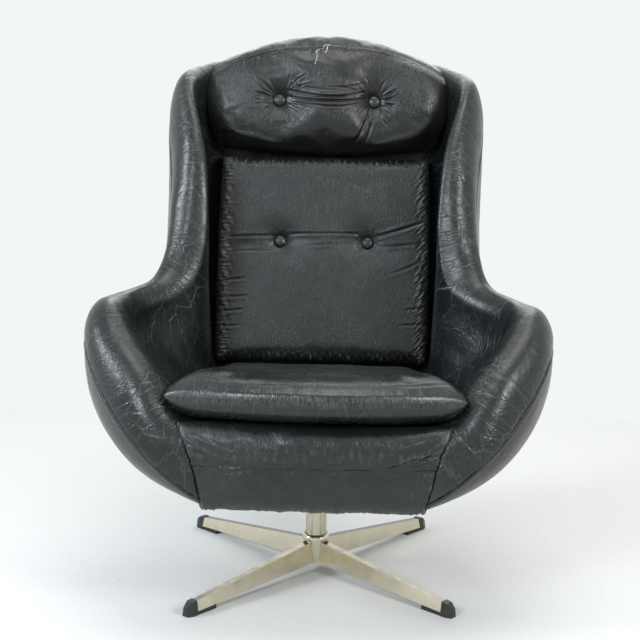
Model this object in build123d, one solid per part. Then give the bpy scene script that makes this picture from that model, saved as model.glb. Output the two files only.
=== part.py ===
"""Swivel armchair: a padded tub on a four-legged metal star, all sizes in millimetres.

The origin is on the floor under the swivel column. +Z is up, the chair faces -Y and +X is to
the right for someone who looks at its front.
"""

from build123d import *
from math import cos, radians, sin, sqrt, tan
import os

# Which end of a block or cylinder lies on its place
BOTTOM_ALIGN = (Align.CENTER, Align.CENTER, Align.MIN)
TOP_ALIGN = (Align.CENTER, Align.CENTER, Align.MAX)

# Shared small sizes
OVERRUN = 2.0
RUNNING_CLEARANCE = 0.05
SEATED_CLEARANCE = 0.05
SOFT_CLEARANCE = 0.3
NEST_CLEARANCE = 0.5
FOAM_CLEARANCE = 2.4
SEAM_CLEARANCE = 0.8

# Star base
STAR_REACH = 330.0
STAR_TURN = 3.4
LEG_TURN_SHARE = 0.5
LEG_NAMES = ("rear_right", "rear_left", "front_left", "front_right")
HUB_RADIUS = 22.5
HUB_BOTTOM = 19.0
HUB_TOP = 61.0
LEG_WALL = 2.0
LEG_ROOT_RIDGE = 15.0
LEG_ROOT_FOOT = 27.0
LEG_ROOT_BOTTOM = 20.0
LEG_ROOT_TOP = 60.0
LEG_TIP_RIDGE = 12.0
LEG_TIP_FOOT = 20.0
LEG_TIP_BOTTOM = 6.5
LEG_TIP_TOP = 24.5
CAP_NOSE = 22.0
CAP_LIP = 1.2
CAP_PAD = 42.0
CAP_PLUG = 20.0
CAP_NOSE_SHARE = 0.66

# Column and swivel
COLUMN_RADIUS = 19.5
COLUMN_WALL = 2.0
COLUMN_TOP = 186.0
COLLAR_RADIUS = 25.5
COLLAR_TOP_RADIUS = 22.0
COLLAR_HEIGHT = 10.0
COLLAR_ROUND = 2.5
COLLAR_BULGE = 0.7
SPINDLE_RADIUS = 12.5
BUSH_LENGTH = 30.0
BUSH_FLANGE = 3.0
BUSH_BOTTOM = 30.0
RETAINER_RADIUS = 16.5
RETAINER_THICKNESS = 2.5
RETAINER_SCREW_RADIUS = 4.0
RETAINER_SCREW_LENGTH = 18.0
RETAINER_HEAD_RADIUS = 6.5
RETAINER_HEAD_HEIGHT = 5.0

# Seat plate and its bolts
PLATE_SIZE = 180.0
PLATE_THICKNESS = 4.0
PLATE_CORNER = 22.0
PLATE_RIM = 10.0
BOSS_RADIUS = 22.0
BOLT_SPACING = 116.0
BOLT_RADIUS = 4.0
BOLT_LENGTH = 28.0
BOLT_HEAD_WIDTH = 13.0
BOLT_HEAD_HEIGHT = 5.5

# Tub: the sections are taken in upright planes through the swivel axis. What fits between its
# walls has widths and places in shares of TUB_REACH, as the sections themselves have.
TUB_BOTTOM = 215.0
TUB_HOLE = 95.0
TUB_REACH = 400.0
TUB_RISE = 720.0
COVER_THICKNESS = 2.0
SHELL_THICKNESS = 6.0
SHELL_DEPTH = COVER_THICKNESS + SOFT_CLEARANCE
WALL_DEPTH = SHELL_DEPTH + SHELL_THICKNESS + FOAM_CLEARANCE
DECK_AXIS_HEIGHT = 309.0
DECK_SLOPE = 10.5
BLOCK_HEIGHT = 36.0
MOUTH_AZIMUTH = 162.0
MOUTH_REACH_SHARE = 0.825

# Front apron between the arm ends
APRON_BACK = TUB_REACH * MOUTH_REACH_SHARE
APRON_DEPTH = 40.0
APRON_BOTTOM = 231.0
APRON_TOP = 367.0
APRON_CREASE = 306.0
APRON_BOTTOM_SHARE = 0.4525
APRON_TOP_SHARE = 0.53
APRON_BOTTOM_HALF = TUB_REACH * APRON_BOTTOM_SHARE
APRON_TOP_HALF = TUB_REACH * APRON_TOP_SHARE
APRON_PLAN_SAG = 12.0
APRON_CREASE_DEPTH = 5.0
APRON_PANEL_FALL = 2.0
APRON_TUCK_SHARE = 0.45
APRON_BELLY_SHARE = 0.4
APRON_STATION_SHARES = (-1, -0.5, 0, 0.5, 1)

# Loose seat cushion
CUSHION_OVERHANG = 22.0
CUSHION_REAR_GAP = 30.0
CUSHION_FRONT_SHARE = 0.6225
CUSHION_REAR_SHARE = 0.49
CUSHION_FRONT = APRON_BACK + APRON_DEPTH + CUSHION_OVERHANG
CUSHION_FRONT_HALF = TUB_REACH * CUSHION_FRONT_SHARE
CUSHION_REAR_HALF = TUB_REACH * CUSHION_REAR_SHARE
CUSHION_TIP_SETBACK = 48.0
CUSHION_THICKNESS = 84.0
CUSHION_CORNER = 16.0

# Back cushion, measured in its own leaning plane
BACK_LEAN = 12.5
BACK_CUSHION_BOTTOM = 349.0
BACK_REAR_SHARE = 0.53
BACK_BOTTOM_SHARE = 0.5325
BACK_TOP_SHARE = 0.52
BACK_CUSHION_REAR = TUB_REACH * BACK_REAR_SHARE
BACK_CUSHION_BOTTOM_HALF = TUB_REACH * BACK_BOTTOM_SHARE
BACK_CUSHION_TOP_HALF = TUB_REACH * BACK_TOP_SHARE
BACK_CUSHION_HEIGHT = 412.0
BACK_CUSHION_THICKNESS = 92.0
BACK_CUSHION_CORNER = 26.0
BACK_BUTTON_HALF_SPACING = 86.0
BACK_BUTTON_HEIGHT = 240.0
BACK_TUFT_DEPTH = 16.0
BACK_TUFT_RADIUS = 44.0

# Head cushion, measured in the same leaning plane
HEAD_CUSHION_GAP = 9.5
HEAD_CUSHION_BOTTOM = BACK_CUSHION_HEIGHT + HEAD_CUSHION_GAP
HEAD_CUSHION_HEIGHT = 228.0
HEAD_SIDE_SHARE = 0.575
HEAD_BOTTOM_SHARE = 0.53
HEAD_CUSHION_HALF = TUB_REACH * HEAD_SIDE_SHARE
HEAD_CUSHION_BOTTOM_HALF = TUB_REACH * HEAD_BOTTOM_SHARE
HEAD_CUSHION_SHOULDER = 172.0
HEAD_CUSHION_SAG = 8.0
HEAD_CUSHION_THICKNESS = 112.0
HEAD_CUSHION_CORNER = 34.0
HEAD_CUSHION_STANDOFF = 22.0
HEAD_BUTTON_HALF_SPACING = 92.0
HEAD_BUTTON_HEIGHT = 93.0
HEAD_TUFT_DEPTH = 30.0
HEAD_TUFT_RADIUS = 60.0

# Covered buttons
BUTTON_RADIUS = 13.0
BUTTON_DOME = 7.0
BUTTON_BASE = 3.0
BUTTON_MARGIN = 1.0

# Crown of the cushions: how far each face draws in, and how boxy its edge is
CROWN_STEPS = 7
CROWN_POWER = 0.9
CUSHION_FLAT = 31.0
BACK_FLAT = 88.0
CUSHION_CROWN_SPREAD = CUSHION_REAR_HALF - CUSHION_FLAT
BACK_CROWN_SPREAD = BACK_CUSHION_TOP_HALF - BACK_FLAT
BACK_CROWN = 34.0
BACK_EDGE = 24.0
HEAD_FLAT = 2.0
HEAD_CROWN_SPREAD = HEAD_CUSHION_SHOULDER / 2 - HEAD_FLAT
HEAD_CROWN = 52.0
HEAD_REAR_CROWN = 42.0
CORNER_ROOM_SHARE = 0.45

# One row for each section: azimuth in degrees from the back, then shares of TUB_REACH (reach
# columns) and TUB_RISE (rise columns). Flat and belly steer the skin, seam is its end, roll is
# the padded edge's width and rise, ridge is the share of that rise where the inner face starts,
# foot is where that face meets the deck and bow is how far its lower half keeps out to the shell.
# azimuth, flat, belly reach and rise, seam reach and rise, roll width and rise, ridge, foot, bow
TUB_SECTION_SHARES = [
    (0, 0.900, 0.850, 0.395, 0.965, 0.988, 0.145, 0.044, 0.30, 0.555, 0.00),
    (20, 0.920, 0.885, 0.395, 0.995, 0.988, 0.145, 0.047, 0.30, 0.570, 0.15),
    (35, 0.950, 0.930, 0.385, 1.005, 0.963, 0.145, 0.056, 0.30, 0.600, 0.60),
    (47, 0.920, 0.920, 0.370, 0.965, 0.926, 0.145, 0.070, 0.30, 0.610, 0.90),
    (57, 0.880, 0.880, 0.345, 0.905, 0.857, 0.170, 0.097, 0.30, 0.605, 0.55),
    (66, 0.870, 0.860, 0.310, 0.800, 0.746, 0.185, 0.111, 0.30, 0.570, 0.20),
    (74, 0.850, 0.850, 0.250, 0.745, 0.632, 0.190, 0.108, 0.30, 0.545, 0.00),
    (82, 0.840, 0.870, 0.220, 0.740, 0.508, 0.195, 0.086, 0.30, 0.540, 0.00),
    (90, 0.850, 0.900, 0.200, 0.795, 0.428, 0.200, 0.061, 0.30, 0.545, 0.00),
    (98, 0.900, 0.985, 0.180, 0.910, 0.396, 0.205, 0.058, 0.30, 0.580, 0.00),
    (107, 0.940, 1.060, 0.170, 1.040, 0.376, 0.205, 0.069, 0.30, 0.640, 0.00),
    (117, 0.960, 1.120, 0.155, 1.112, 0.354, 0.210, 0.089, 0.35, 0.700, 0.00),
    (127, 0.960, 1.130, 0.112, 1.135, 0.282, 0.230, 0.103, 0.45, 0.770, 0.00),
    (137, 0.950, 1.090, 0.060, 1.125, 0.188, 0.235, 0.125, 0.60, 0.800, 0.00),
    (146, 0.900, 1.010, 0.025, 1.075, 0.101, 0.225, 0.114, 0.90, 0.760, 0.00),
    (153, 0.850, 0.950, 0.008, 1.005, 0.046, 0.200, 0.166, 0.95, 0.740, 0.00),
    (162, 0.820, 0.900, 0.005, 0.963, 0.035, 0.200, 0.176, 0.97, 0.740, 0.00),
]
ROLL_PULL_SHARE = 4 / 3
INNER_PULL_SHARE = 0.4
BLOCK_SHARE = 4


def leaning(azimuth, reach, height):
    """A point of the section plane at this azimuth."""
    return Vector(reach * sin(radians(azimuth)), reach * cos(radians(azimuth)), height)


def deck_height(y):
    """Height of the sloping seat deck at a depth y; it falls towards the back."""
    return DECK_AXIS_HEIGHT - y * tan(radians(DECK_SLOPE))


def unit_normal(start, end):
    """Unit vector square to a line in the section plane, turned towards the seat."""
    run = end[0] - start[0]
    rise = end[1] - start[1]
    length = sqrt(run * run + rise * rise)
    return -rise / length, run / length


def skin_poles(row, depth, drop=0):
    """Four poles of the tub skin's curve, this deep under its outer face.

    The drop ends the curve that much short of the seam.
    """
    flat, belly_reach, belly_rise, seam_reach, seam_rise = row[1:6]
    poles = [
        (TUB_HOLE - OVERRUN, TUB_BOTTOM),
        (TUB_REACH * flat, TUB_BOTTOM),
        (TUB_REACH * belly_reach, TUB_BOTTOM + TUB_RISE * belly_rise),
        (TUB_REACH * seam_reach, TUB_BOTTOM + TUB_RISE * seam_rise),
    ]
    normals = [unit_normal(*pair) for pair in zip(poles[:-1], poles[1:])]
    poles[-1] = (poles[-1][0] - drop * normals[-1][1], poles[-1][1] + drop * normals[-1][0])
    inset = []
    for pole, before, after in zip(poles, normals[:1] + normals, normals + normals[-1:]):
        miter = 1 + before[0] * after[0] + before[1] * after[1]
        inset.append(
            (
                pole[0] + depth * (before[0] + after[0]) / miter,
                pole[1] + depth * (before[1] + after[1]) / miter,
            )
        )
    return inset


def section_curve(azimuth, poles):
    """The smooth curve steered by these poles in one section plane."""
    return Bezier(*[leaning(azimuth, *pole) for pole in poles])


def layer_section(row, outer_depth, inner_depth):
    """Closed section of one thin layer of the tub wall."""
    outer = section_curve(row[0], skin_poles(row, outer_depth, SEAM_CLEARANCE))
    inner = section_curve(row[0], skin_poles(row, inner_depth, SEAM_CLEARANCE))
    top = Line(outer @ 1, inner @ 1)
    bottom = Line(inner @ 0, outer @ 0)
    return Face(Wire([outer, top, inner, bottom]))


def padding_section(row, growth=0):
    """Closed section of the padding: hidden face, seam step, rolled edge, inner face, deck.

    The growth moves the inner face that much towards the sitter.
    """
    azimuth = row[0]
    roll_width, roll_rise, ridge_share, foot_reach, bow_share = row[6:]
    seam = skin_poles(row, 0)[-1]
    width = TUB_REACH * roll_width + growth
    rise = TUB_RISE * roll_rise + growth
    ridge = (seam[0] - width, seam[1] + rise * ridge_share)
    roll_poles = [
        seam,
        (seam[0], seam[1] + rise * ROLL_PULL_SHARE),
        (ridge[0], ridge[1] + rise * (1 - ridge_share) * ROLL_PULL_SHARE),
        ridge,
    ]
    foot_r = TUB_REACH * foot_reach - growth
    foot = (foot_r, deck_height(foot_r * cos(radians(azimuth))))
    drop = (ridge[1] - foot[1]) * INNER_PULL_SHARE
    bow = (ridge[0] - foot[0]) * bow_share
    inner_poles = [ridge, (ridge[0], ridge[1] - drop), (foot[0] + bow, foot[1] + drop), foot]
    hidden = section_curve(azimuth, skin_poles(row, WALL_DEPTH))
    step = Line(hidden @ 1, leaning(azimuth, *seam))
    roll = section_curve(azimuth, roll_poles)
    inner = section_curve(azimuth, inner_poles)
    hole_reach = TUB_HOLE - OVERRUN
    hole_top = leaning(azimuth, hole_reach, deck_height(hole_reach * cos(radians(azimuth))))
    deck = Line(inner @ 1, hole_top)
    hole = Line(deck @ 1, hidden @ 0)
    return Face(Wire([hidden, step, roll, inner, deck, hole]))


def all_rows():
    """The hand-chosen rows, mirrored to run from one side of the mouth to the other."""
    mirrored = [(-row[0],) + row[1:] for row in reversed(TUB_SECTION_SHARES[1:])]
    return mirrored + TUB_SECTION_SHARES


def mouth_wedge(clearance):
    """The space of the apron: forward of its back plane, between two leaning side planes."""
    height = APRON_TOP - APRON_BOTTOM
    slant = (APRON_TOP_HALF - APRON_BOTTOM_HALF) / height
    low = APRON_BOTTOM - height
    high = APRON_TOP + height
    low_half = APRON_BOTTOM_HALF - slant * height - clearance
    high_half = APRON_TOP_HALF + slant * height - clearance
    outline = Polyline(
        (-low_half, low), (low_half, low), (high_half, high), (-high_half, high), close=True
    )
    start = Plane.XZ.offset(APRON_BACK + clearance)
    return extrude(start * make_face(outline), TUB_REACH)


def tub_part(section):
    """A loft of one section all round the tub, bored in the middle and cut for the apron."""
    bore = Pos(0, 0, TUB_BOTTOM - OVERRUN) * Cylinder(TUB_HOLE, TUB_RISE, align=BOTTOM_ALIGN)
    return loft([section(row) for row in all_rows()]) - bore - mouth_wedge(0)


def make_outer_cover():
    return tub_part(lambda row: layer_section(row, 0, COVER_THICKNESS))


def make_shell():
    return tub_part(lambda row: layer_section(row, SHELL_DEPTH, SHELL_DEPTH + SHELL_THICKNESS))


def make_padding():
    """Foam and covers of the tub's inside, pressed in where the seat cushion lies."""
    return tub_part(padding_section) - seat_cushion_shape(NEST_CLEARANCE)


def padding_nest():
    """The padding grown by a small gap: it shapes the cushions that lean on it."""
    return tub_part(lambda row: padding_section(row, NEST_CLEARANCE))


def deck_plane():
    """The seat deck's plane: its local y runs back along the slope."""
    slope = radians(DECK_SLOPE)
    return Plane((0, 0, DECK_AXIS_HEIGHT), x_dir=(1, 0, 0), z_dir=(0, sin(slope), cos(slope)))


def back_plane(rise, standoff):
    """The leaning plane of the back: its local y runs up it and its local z faces the sitter."""
    lean = radians(BACK_LEAN)
    start = Plane(
        (0, BACK_CUSHION_REAR, BACK_CUSHION_BOTTOM),
        x_dir=(1, 0, 0),
        z_dir=(0, -cos(lean), sin(lean)),
    )
    return start * Pos(0, rise, standoff)


def below_deck(depth):
    """Everything deeper than this under the seat deck's face, as one large block."""
    size = TUB_REACH * BLOCK_SHARE
    return deck_plane() * Pos(0, 0, -depth) * Box(size, size, size, align=TOP_ALIGN)


def mouth_prism(bottom):
    """Upright prism between the tub's ends, from the swivel axis to the apron's back."""
    half = APRON_BACK * tan(radians(180 - MOUTH_AZIMUTH)) - SOFT_CLEARANCE
    outline = Polyline((0, 0), (half, -APRON_BACK), (-half, -APRON_BACK), close=True)
    return Pos(0, 0, bottom) * extrude(make_face(outline), TUB_REACH)


def make_mounting_block():
    """Plywood disc in the tub's bottom ring, drilled for the four plate bolts."""
    block = Pos(0, 0, TUB_BOTTOM) * Cylinder(
        TUB_HOLE - SOFT_CLEARANCE, BLOCK_HEIGHT, align=BOTTOM_ALIGN
    )
    return block - bolt_pattern(BOLT_RADIUS + SEATED_CLEARANCE, BOLT_LENGTH + OVERRUN)


def make_centre_foam():
    """Foam core between the mounting block and the seat deck."""
    base = TUB_BOTTOM + BLOCK_HEIGHT
    return below_deck(COVER_THICKNESS) & Pos(0, 0, base) * Cylinder(
        TUB_HOLE - SOFT_CLEARANCE, TUB_REACH, align=BOTTOM_ALIGN
    )


def make_front_rail():
    """Timber rail that closes the tub's mouth behind the apron."""
    rail = mouth_prism(APRON_BOTTOM) & below_deck(COVER_THICKNESS)
    return rail - Cylinder(TUB_HOLE, TUB_RISE)


def make_deck_cover():
    """Cover cloth of the deck's middle and mouth, flush with the padding beside it."""
    middle = Pos(0, 0, TUB_BOTTOM) * Cylinder(
        TUB_HOLE - SOFT_CLEARANCE, TUB_REACH, align=BOTTOM_ALIGN
    )
    column = middle + mouth_prism(TUB_BOTTOM)
    return (column & below_deck(0)) - below_deck(COVER_THICKNESS)


def apron_profile(half_width):
    """Side profile of the apron this far from its middle: lower panel, crease, upper roll."""
    front = APRON_BACK + APRON_DEPTH - APRON_PLAN_SAG * (half_width / APRON_TOP_HALF) ** 2
    tuck = APRON_DEPTH * APRON_TUCK_SHARE
    crease = front - APRON_CREASE_DEPTH
    back = APRON_BACK + SOFT_CLEARANCE
    points = [
        (back, APRON_BOTTOM),
        (front - tuck, APRON_BOTTOM),
        (crease, APRON_CREASE),
        (front - tuck, APRON_TOP),
        (back, APRON_TOP),
    ]
    places = [Vector(half_width, -y, z) for y, z in points]
    belly_height = APRON_BOTTOM + (APRON_CREASE - APRON_BOTTOM) * APRON_BELLY_SHARE
    belly = Vector(half_width, -front + APRON_PANEL_FALL, belly_height)
    roll = Vector(half_width, -front, (APRON_CREASE + APRON_TOP) / 2)
    edges = [
        Line(places[0], places[1]),
        ThreePointArc(places[1], belly, places[2]),
        ThreePointArc(places[2], roll, places[3]),
        Line(places[3], places[4]),
        Line(places[4], places[0]),
    ]
    return Face(Wire(edges))


def make_apron():
    """Padded apron between the arm ends, bowed in plan and cut to its leaning sides."""
    wide = APRON_TOP_HALF + APRON_DEPTH
    stations = [wide * share for share in APRON_STATION_SHARES]
    return loft([apron_profile(x) for x in stations]) & mouth_wedge(SOFT_CLEARANCE)


def crowned(outline, height, spread):
    """Half a cushion: one outline that rises and draws in to a low crown."""
    layers = []
    for step in range(CROWN_STEPS + 1):
        angle = radians(90 * step / CROWN_STEPS)
        rise = height * sin(angle) ** CROWN_POWER
        inset = spread * (1 - cos(angle))
        layers.append(Pos(0, 0, rise) * outline(inset))
    return loft(layers)


def boxed_cushion(outline, thickness, rear_crown, rear_spread, crown, spread):
    """A cushion with straight sides between its crowned rear and front; its rear is at z = 0."""
    side = thickness - rear_crown - crown
    rear = mirror(crowned(outline, rear_crown, rear_spread), about=Plane.XY)
    middle = extrude(outline(0), side)
    front = Pos(0, 0, side) * crowned(outline, crown, spread)
    return Pos(0, 0, rear_crown) * (rear + middle + front)


def limited_fillet(face, radius, room):
    """Round all corners of a face, by no more than the room allows."""
    return fillet(face.vertices(), min(radius, room))


def cushion_outline(inset):
    """Plan of the seat cushion: bowed front with two tips, sides that draw in to the rear."""
    front = -CUSHION_FRONT + inset
    tip = -CUSHION_FRONT + CUSHION_TIP_SETBACK + inset
    rear = BACK_CUSHION_REAR - BACK_CUSHION_THICKNESS - CUSHION_REAR_GAP - inset
    front_half = CUSHION_FRONT_HALF - inset
    rear_half = CUSHION_REAR_HALF - inset
    edges = [
        ThreePointArc((-front_half, tip), (0, front), (front_half, tip)),
        Line((front_half, tip), (rear_half, rear)),
        Line((rear_half, rear), (-rear_half, rear)),
        Line((-rear_half, rear), (-front_half, tip)),
    ]
    return limited_fillet(make_face(edges), CUSHION_CORNER + inset / 2, rear_half / 2)


def seat_cushion_shape(growth):
    """Two crowned halves that meet at the seam, grown all round by a small gap."""
    half = CUSHION_THICKNESS / 2
    upper = crowned(
        lambda inset: cushion_outline(inset - growth), half + growth, CUSHION_CROWN_SPREAD
    )
    body = upper + mirror(upper, about=Plane.XY)
    return deck_plane() * Pos(0, 0, half + SOFT_CLEARANCE) * body


def make_seat_cushion():
    """Loose knife-edged cushion."""
    return seat_cushion_shape(0)


def back_outline(inset):
    """Front view of the back cushion, a little narrower at its top."""
    low_half = BACK_CUSHION_BOTTOM_HALF - inset
    high_half = BACK_CUSHION_TOP_HALF - inset
    high = BACK_CUSHION_HEIGHT - inset
    corners = [(-low_half, inset), (low_half, inset), (high_half, high), (-high_half, high)]
    face = make_face(Polyline(*corners, close=True))
    return limited_fillet(face, BACK_CUSHION_CORNER, high_half / 2)


def head_outline(inset):
    """Front view of the head cushion: sagging bottom, bowed sides and a crowned top."""
    low_half = HEAD_CUSHION_BOTTOM_HALF - inset
    side_half = HEAD_CUSHION_HALF - inset
    top_half = (HEAD_CUSHION_BOTTOM_HALF + HEAD_CUSHION_HALF) / 2 - inset
    shoulder = HEAD_CUSHION_SHOULDER - inset * HEAD_CUSHION_SHOULDER / HEAD_CUSHION_HEIGHT
    middle = (inset + shoulder) / 2
    top = HEAD_CUSHION_HEIGHT - inset
    edges = [
        ThreePointArc((-low_half, inset), (0, inset - HEAD_CUSHION_SAG), (low_half, inset)),
        ThreePointArc((low_half, inset), (side_half, middle), (top_half, shoulder)),
        ThreePointArc((top_half, shoulder), (0, top), (-top_half, shoulder)),
        ThreePointArc((-top_half, shoulder), (-side_half, middle), (-low_half, inset)),
    ]
    room = (shoulder - inset) * CORNER_ROOM_SHARE
    return limited_fillet(make_face(edges), HEAD_CUSHION_CORNER, room)


def tuft(surface, depth, radius):
    """The funnel that a sewn button draws into a cushion face at this height."""
    floor = surface - depth
    seat = BUTTON_RADIUS + BUTTON_MARGIN
    flare = Bezier(
        (seat, 0, floor),
        ((seat * 2 + radius) / 3, 0, floor),
        ((seat + radius * 2) / 3, 0, surface),
        (radius, 0, surface + OVERRUN),
    )
    lip = Line((radius, 0, surface + OVERRUN), (radius, 0, surface + depth))
    roof = Line((radius, 0, surface + depth), (0, 0, surface + depth))
    axis = Line((0, 0, surface + depth), (0, 0, floor))
    base = Line((0, 0, floor), (seat, 0, floor))
    return revolve(make_face([flare, lip, roof, axis, base]), Axis.Z)


def make_button():
    """Covered button: a short rim under a low dome, seated at z = 0."""
    height = BUTTON_BASE + BUTTON_DOME
    dome_radius = (BUTTON_RADIUS**2 + BUTTON_DOME**2) / (2 * BUTTON_DOME)
    dome = Pos(0, 0, height - dome_radius) * Sphere(dome_radius)
    return Cylinder(BUTTON_RADIUS, height, align=BOTTOM_ALIGN) & dome


def tufted_cushion(body, front, half_spacing, height, depth, radius):
    """Cut both tufts into a cushion and return it with its left and right buttons."""
    buttons = []
    for side in (-1, 1):
        spot = Pos(side * half_spacing, height, 0)
        body = body - spot * tuft(front, depth, radius)
        buttons.append(spot * Pos(0, 0, front - depth) * make_button())
    return body, buttons


def make_back_cushion(nest):
    """Boxed back cushion with two shallow tufts, cut to the nest it lies in, and its buttons."""
    body = boxed_cushion(
        back_outline,
        BACK_CUSHION_THICKNESS,
        BACK_EDGE,
        BACK_EDGE,
        BACK_CROWN,
        BACK_CROWN_SPREAD,
    )
    solids = tufted_cushion(
        body,
        BACK_CUSHION_THICKNESS,
        BACK_BUTTON_HALF_SPACING,
        BACK_BUTTON_HEIGHT,
        BACK_TUFT_DEPTH,
        BACK_TUFT_RADIUS,
    )
    place = back_plane(0, SOFT_CLEARANCE)
    return place * solids[0] - nest, [place * button for button in solids[1]]


def make_head_cushion(nest):
    """Plump head cushion with two deep tufts, cut to the nest it lies in, and its buttons."""
    body = boxed_cushion(
        head_outline,
        HEAD_CUSHION_THICKNESS,
        HEAD_REAR_CROWN,
        HEAD_CROWN_SPREAD,
        HEAD_CROWN,
        HEAD_CROWN_SPREAD,
    )
    solids = tufted_cushion(
        body,
        HEAD_CUSHION_THICKNESS,
        HEAD_BUTTON_HALF_SPACING,
        HEAD_BUTTON_HEIGHT,
        HEAD_TUFT_DEPTH,
        HEAD_TUFT_RADIUS,
    )
    place = back_plane(HEAD_CUSHION_BOTTOM, HEAD_CUSHION_STANDOFF)
    return place * solids[0] - nest, [place * button for button in solids[1]]


def bolt_places():
    """The four bolt axes on the bottom of the tub."""
    half = BOLT_SPACING / 2
    return [Pos(x * half, y * half, TUB_BOTTOM) for x in (-1, 1) for y in (-1, 1)]


def bolt_pattern(radius, length):
    """Four round shanks that rise from the tub's bottom."""
    return Part() + [place * Cylinder(radius, length, align=BOTTOM_ALIGN) for place in bolt_places()]


def make_seat_plate():
    """Pressed steel plate with a turned-down rim and the boss that takes the spindle."""
    base = TUB_BOTTOM - PLATE_THICKNESS
    outline = fillet(Rectangle(PLATE_SIZE, PLATE_SIZE).vertices(), PLATE_CORNER)
    inner_size = PLATE_SIZE - PLATE_THICKNESS * 2
    inner = fillet(Rectangle(inner_size, inner_size).vertices(), PLATE_CORNER - PLATE_THICKNESS)
    plate = Pos(0, 0, base) * extrude(outline, PLATE_THICKNESS)
    rim = Pos(0, 0, base - PLATE_RIM) * extrude(outline - inner, PLATE_RIM)
    boss_bottom = COLUMN_TOP + BUSH_FLANGE + RUNNING_CLEARANCE
    boss = Pos(0, 0, boss_bottom) * Cylinder(BOSS_RADIUS, base - boss_bottom, align=BOTTOM_ALIGN)
    bore = Pos(0, 0, boss_bottom) * Cylinder(
        SPINDLE_RADIUS + SEATED_CLEARANCE, TUB_BOTTOM - boss_bottom, align=BOTTOM_ALIGN
    )
    holes = Pos(0, 0, -PLATE_THICKNESS) * bolt_pattern(
        BOLT_RADIUS + SEATED_CLEARANCE, PLATE_THICKNESS
    )
    return plate + rim + boss - bore - holes


def make_plate_bolts():
    """Four hexagon bolts through the seat plate into the mounting block."""
    solids = []
    for place in bolt_places():
        shank = Cylinder(BOLT_RADIUS, BOLT_LENGTH, align=BOTTOM_ALIGN)
        neck = Pos(0, 0, -PLATE_THICKNESS) * Cylinder(
            BOLT_RADIUS, PLATE_THICKNESS, align=BOTTOM_ALIGN
        )
        hexagon = RegularPolygon(BOLT_HEAD_WIDTH / 2, 6, major_radius=False)
        head = Pos(0, 0, -PLATE_THICKNESS - BOLT_HEAD_HEIGHT) * extrude(hexagon, BOLT_HEAD_HEIGHT)
        solids.append(place * (shank + neck + head))
    return Compound(children=solids)


def make_spindle():
    """Solid spindle that hangs from the seat plate and turns in the column's bushes."""
    bottom = BUSH_BOTTOM - SEATED_CLEARANCE
    spindle = Pos(0, 0, bottom) * Cylinder(SPINDLE_RADIUS, TUB_BOTTOM - bottom, align=BOTTOM_ALIGN)
    bore = Pos(0, 0, bottom) * Cylinder(
        RETAINER_SCREW_RADIUS + SEATED_CLEARANCE,
        RETAINER_SCREW_LENGTH + OVERRUN,
        align=BOTTOM_ALIGN,
    )
    return spindle - bore


def make_retaining_washer():
    """Washer under the spindle that keeps the seat from lifting off the column."""
    top = BUSH_BOTTOM - SEATED_CLEARANCE
    disc = Pos(0, 0, top) * Cylinder(RETAINER_RADIUS, RETAINER_THICKNESS, align=TOP_ALIGN)
    hole = Pos(0, 0, top) * Cylinder(
        RETAINER_SCREW_RADIUS + SEATED_CLEARANCE, RETAINER_THICKNESS, align=TOP_ALIGN
    )
    return disc - hole


def make_retaining_screw():
    """Screw that holds the washer to the spindle."""
    seat = BUSH_BOTTOM - SEATED_CLEARANCE - RETAINER_THICKNESS
    head = Pos(0, 0, seat) * Cylinder(RETAINER_HEAD_RADIUS, RETAINER_HEAD_HEIGHT, align=TOP_ALIGN)
    length = RETAINER_THICKNESS + RETAINER_SCREW_LENGTH
    shank = Pos(0, 0, seat) * Cylinder(RETAINER_SCREW_RADIUS, length, align=BOTTOM_ALIGN)
    return head + shank


def tube(outer, inner, bottom, top):
    """A plain tube on the swivel axis."""
    ring = Circle(outer) - Circle(inner)
    return Pos(0, 0, bottom) * extrude(ring, top - bottom)


def make_column():
    """Plated column tube that stands in the hub."""
    return tube(COLUMN_RADIUS, COLUMN_RADIUS - COLUMN_WALL, HUB_BOTTOM, COLUMN_TOP)


def make_lower_bush():
    """Nylon bush at the foot of the column."""
    outer = COLUMN_RADIUS - COLUMN_WALL - SEATED_CLEARANCE
    inner = SPINDLE_RADIUS + RUNNING_CLEARANCE
    return tube(outer, inner, BUSH_BOTTOM, BUSH_BOTTOM + BUSH_LENGTH)


def make_upper_bush():
    """Flanged nylon bush at the top of the column; its flange carries the seat plate's boss."""
    outer = COLUMN_RADIUS - COLUMN_WALL - SEATED_CLEARANCE
    inner = SPINDLE_RADIUS + RUNNING_CLEARANCE
    sleeve = tube(outer, inner, COLUMN_TOP - BUSH_LENGTH, COLUMN_TOP)
    return sleeve + tube(COLUMN_RADIUS, inner, COLUMN_TOP, COLUMN_TOP + BUSH_FLANGE)


def make_hub():
    """Tube that the four legs are welded to."""
    return tube(HUB_RADIUS, COLUMN_RADIUS + SEATED_CLEARANCE, HUB_BOTTOM, HUB_TOP)


def make_collar():
    """Flared collar ring that hides the joint of hub and column."""
    inner = COLUMN_RADIUS + SEATED_CLEARANCE
    foot = (inner, 0, HUB_TOP)
    flare = (COLLAR_RADIUS, 0, HUB_TOP)
    edge = (COLLAR_RADIUS, 0, HUB_TOP + COLLAR_ROUND)
    shoulder = (COLLAR_TOP_RADIUS, 0, HUB_TOP + COLLAR_HEIGHT)
    top = (inner, 0, HUB_TOP + COLLAR_HEIGHT)
    bulge_radius = (COLLAR_RADIUS + COLLAR_TOP_RADIUS) / 2 + COLLAR_BULGE
    bulge = (bulge_radius, 0, HUB_TOP + (COLLAR_ROUND + COLLAR_HEIGHT) / 2 + COLLAR_BULGE)
    outline = [
        Line(foot, flare),
        Line(flare, edge),
        ThreePointArc(edge, bulge, shoulder),
        Line(shoulder, top),
        Line(top, foot),
    ]
    return revolve(make_face(outline), Axis.Z)


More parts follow.
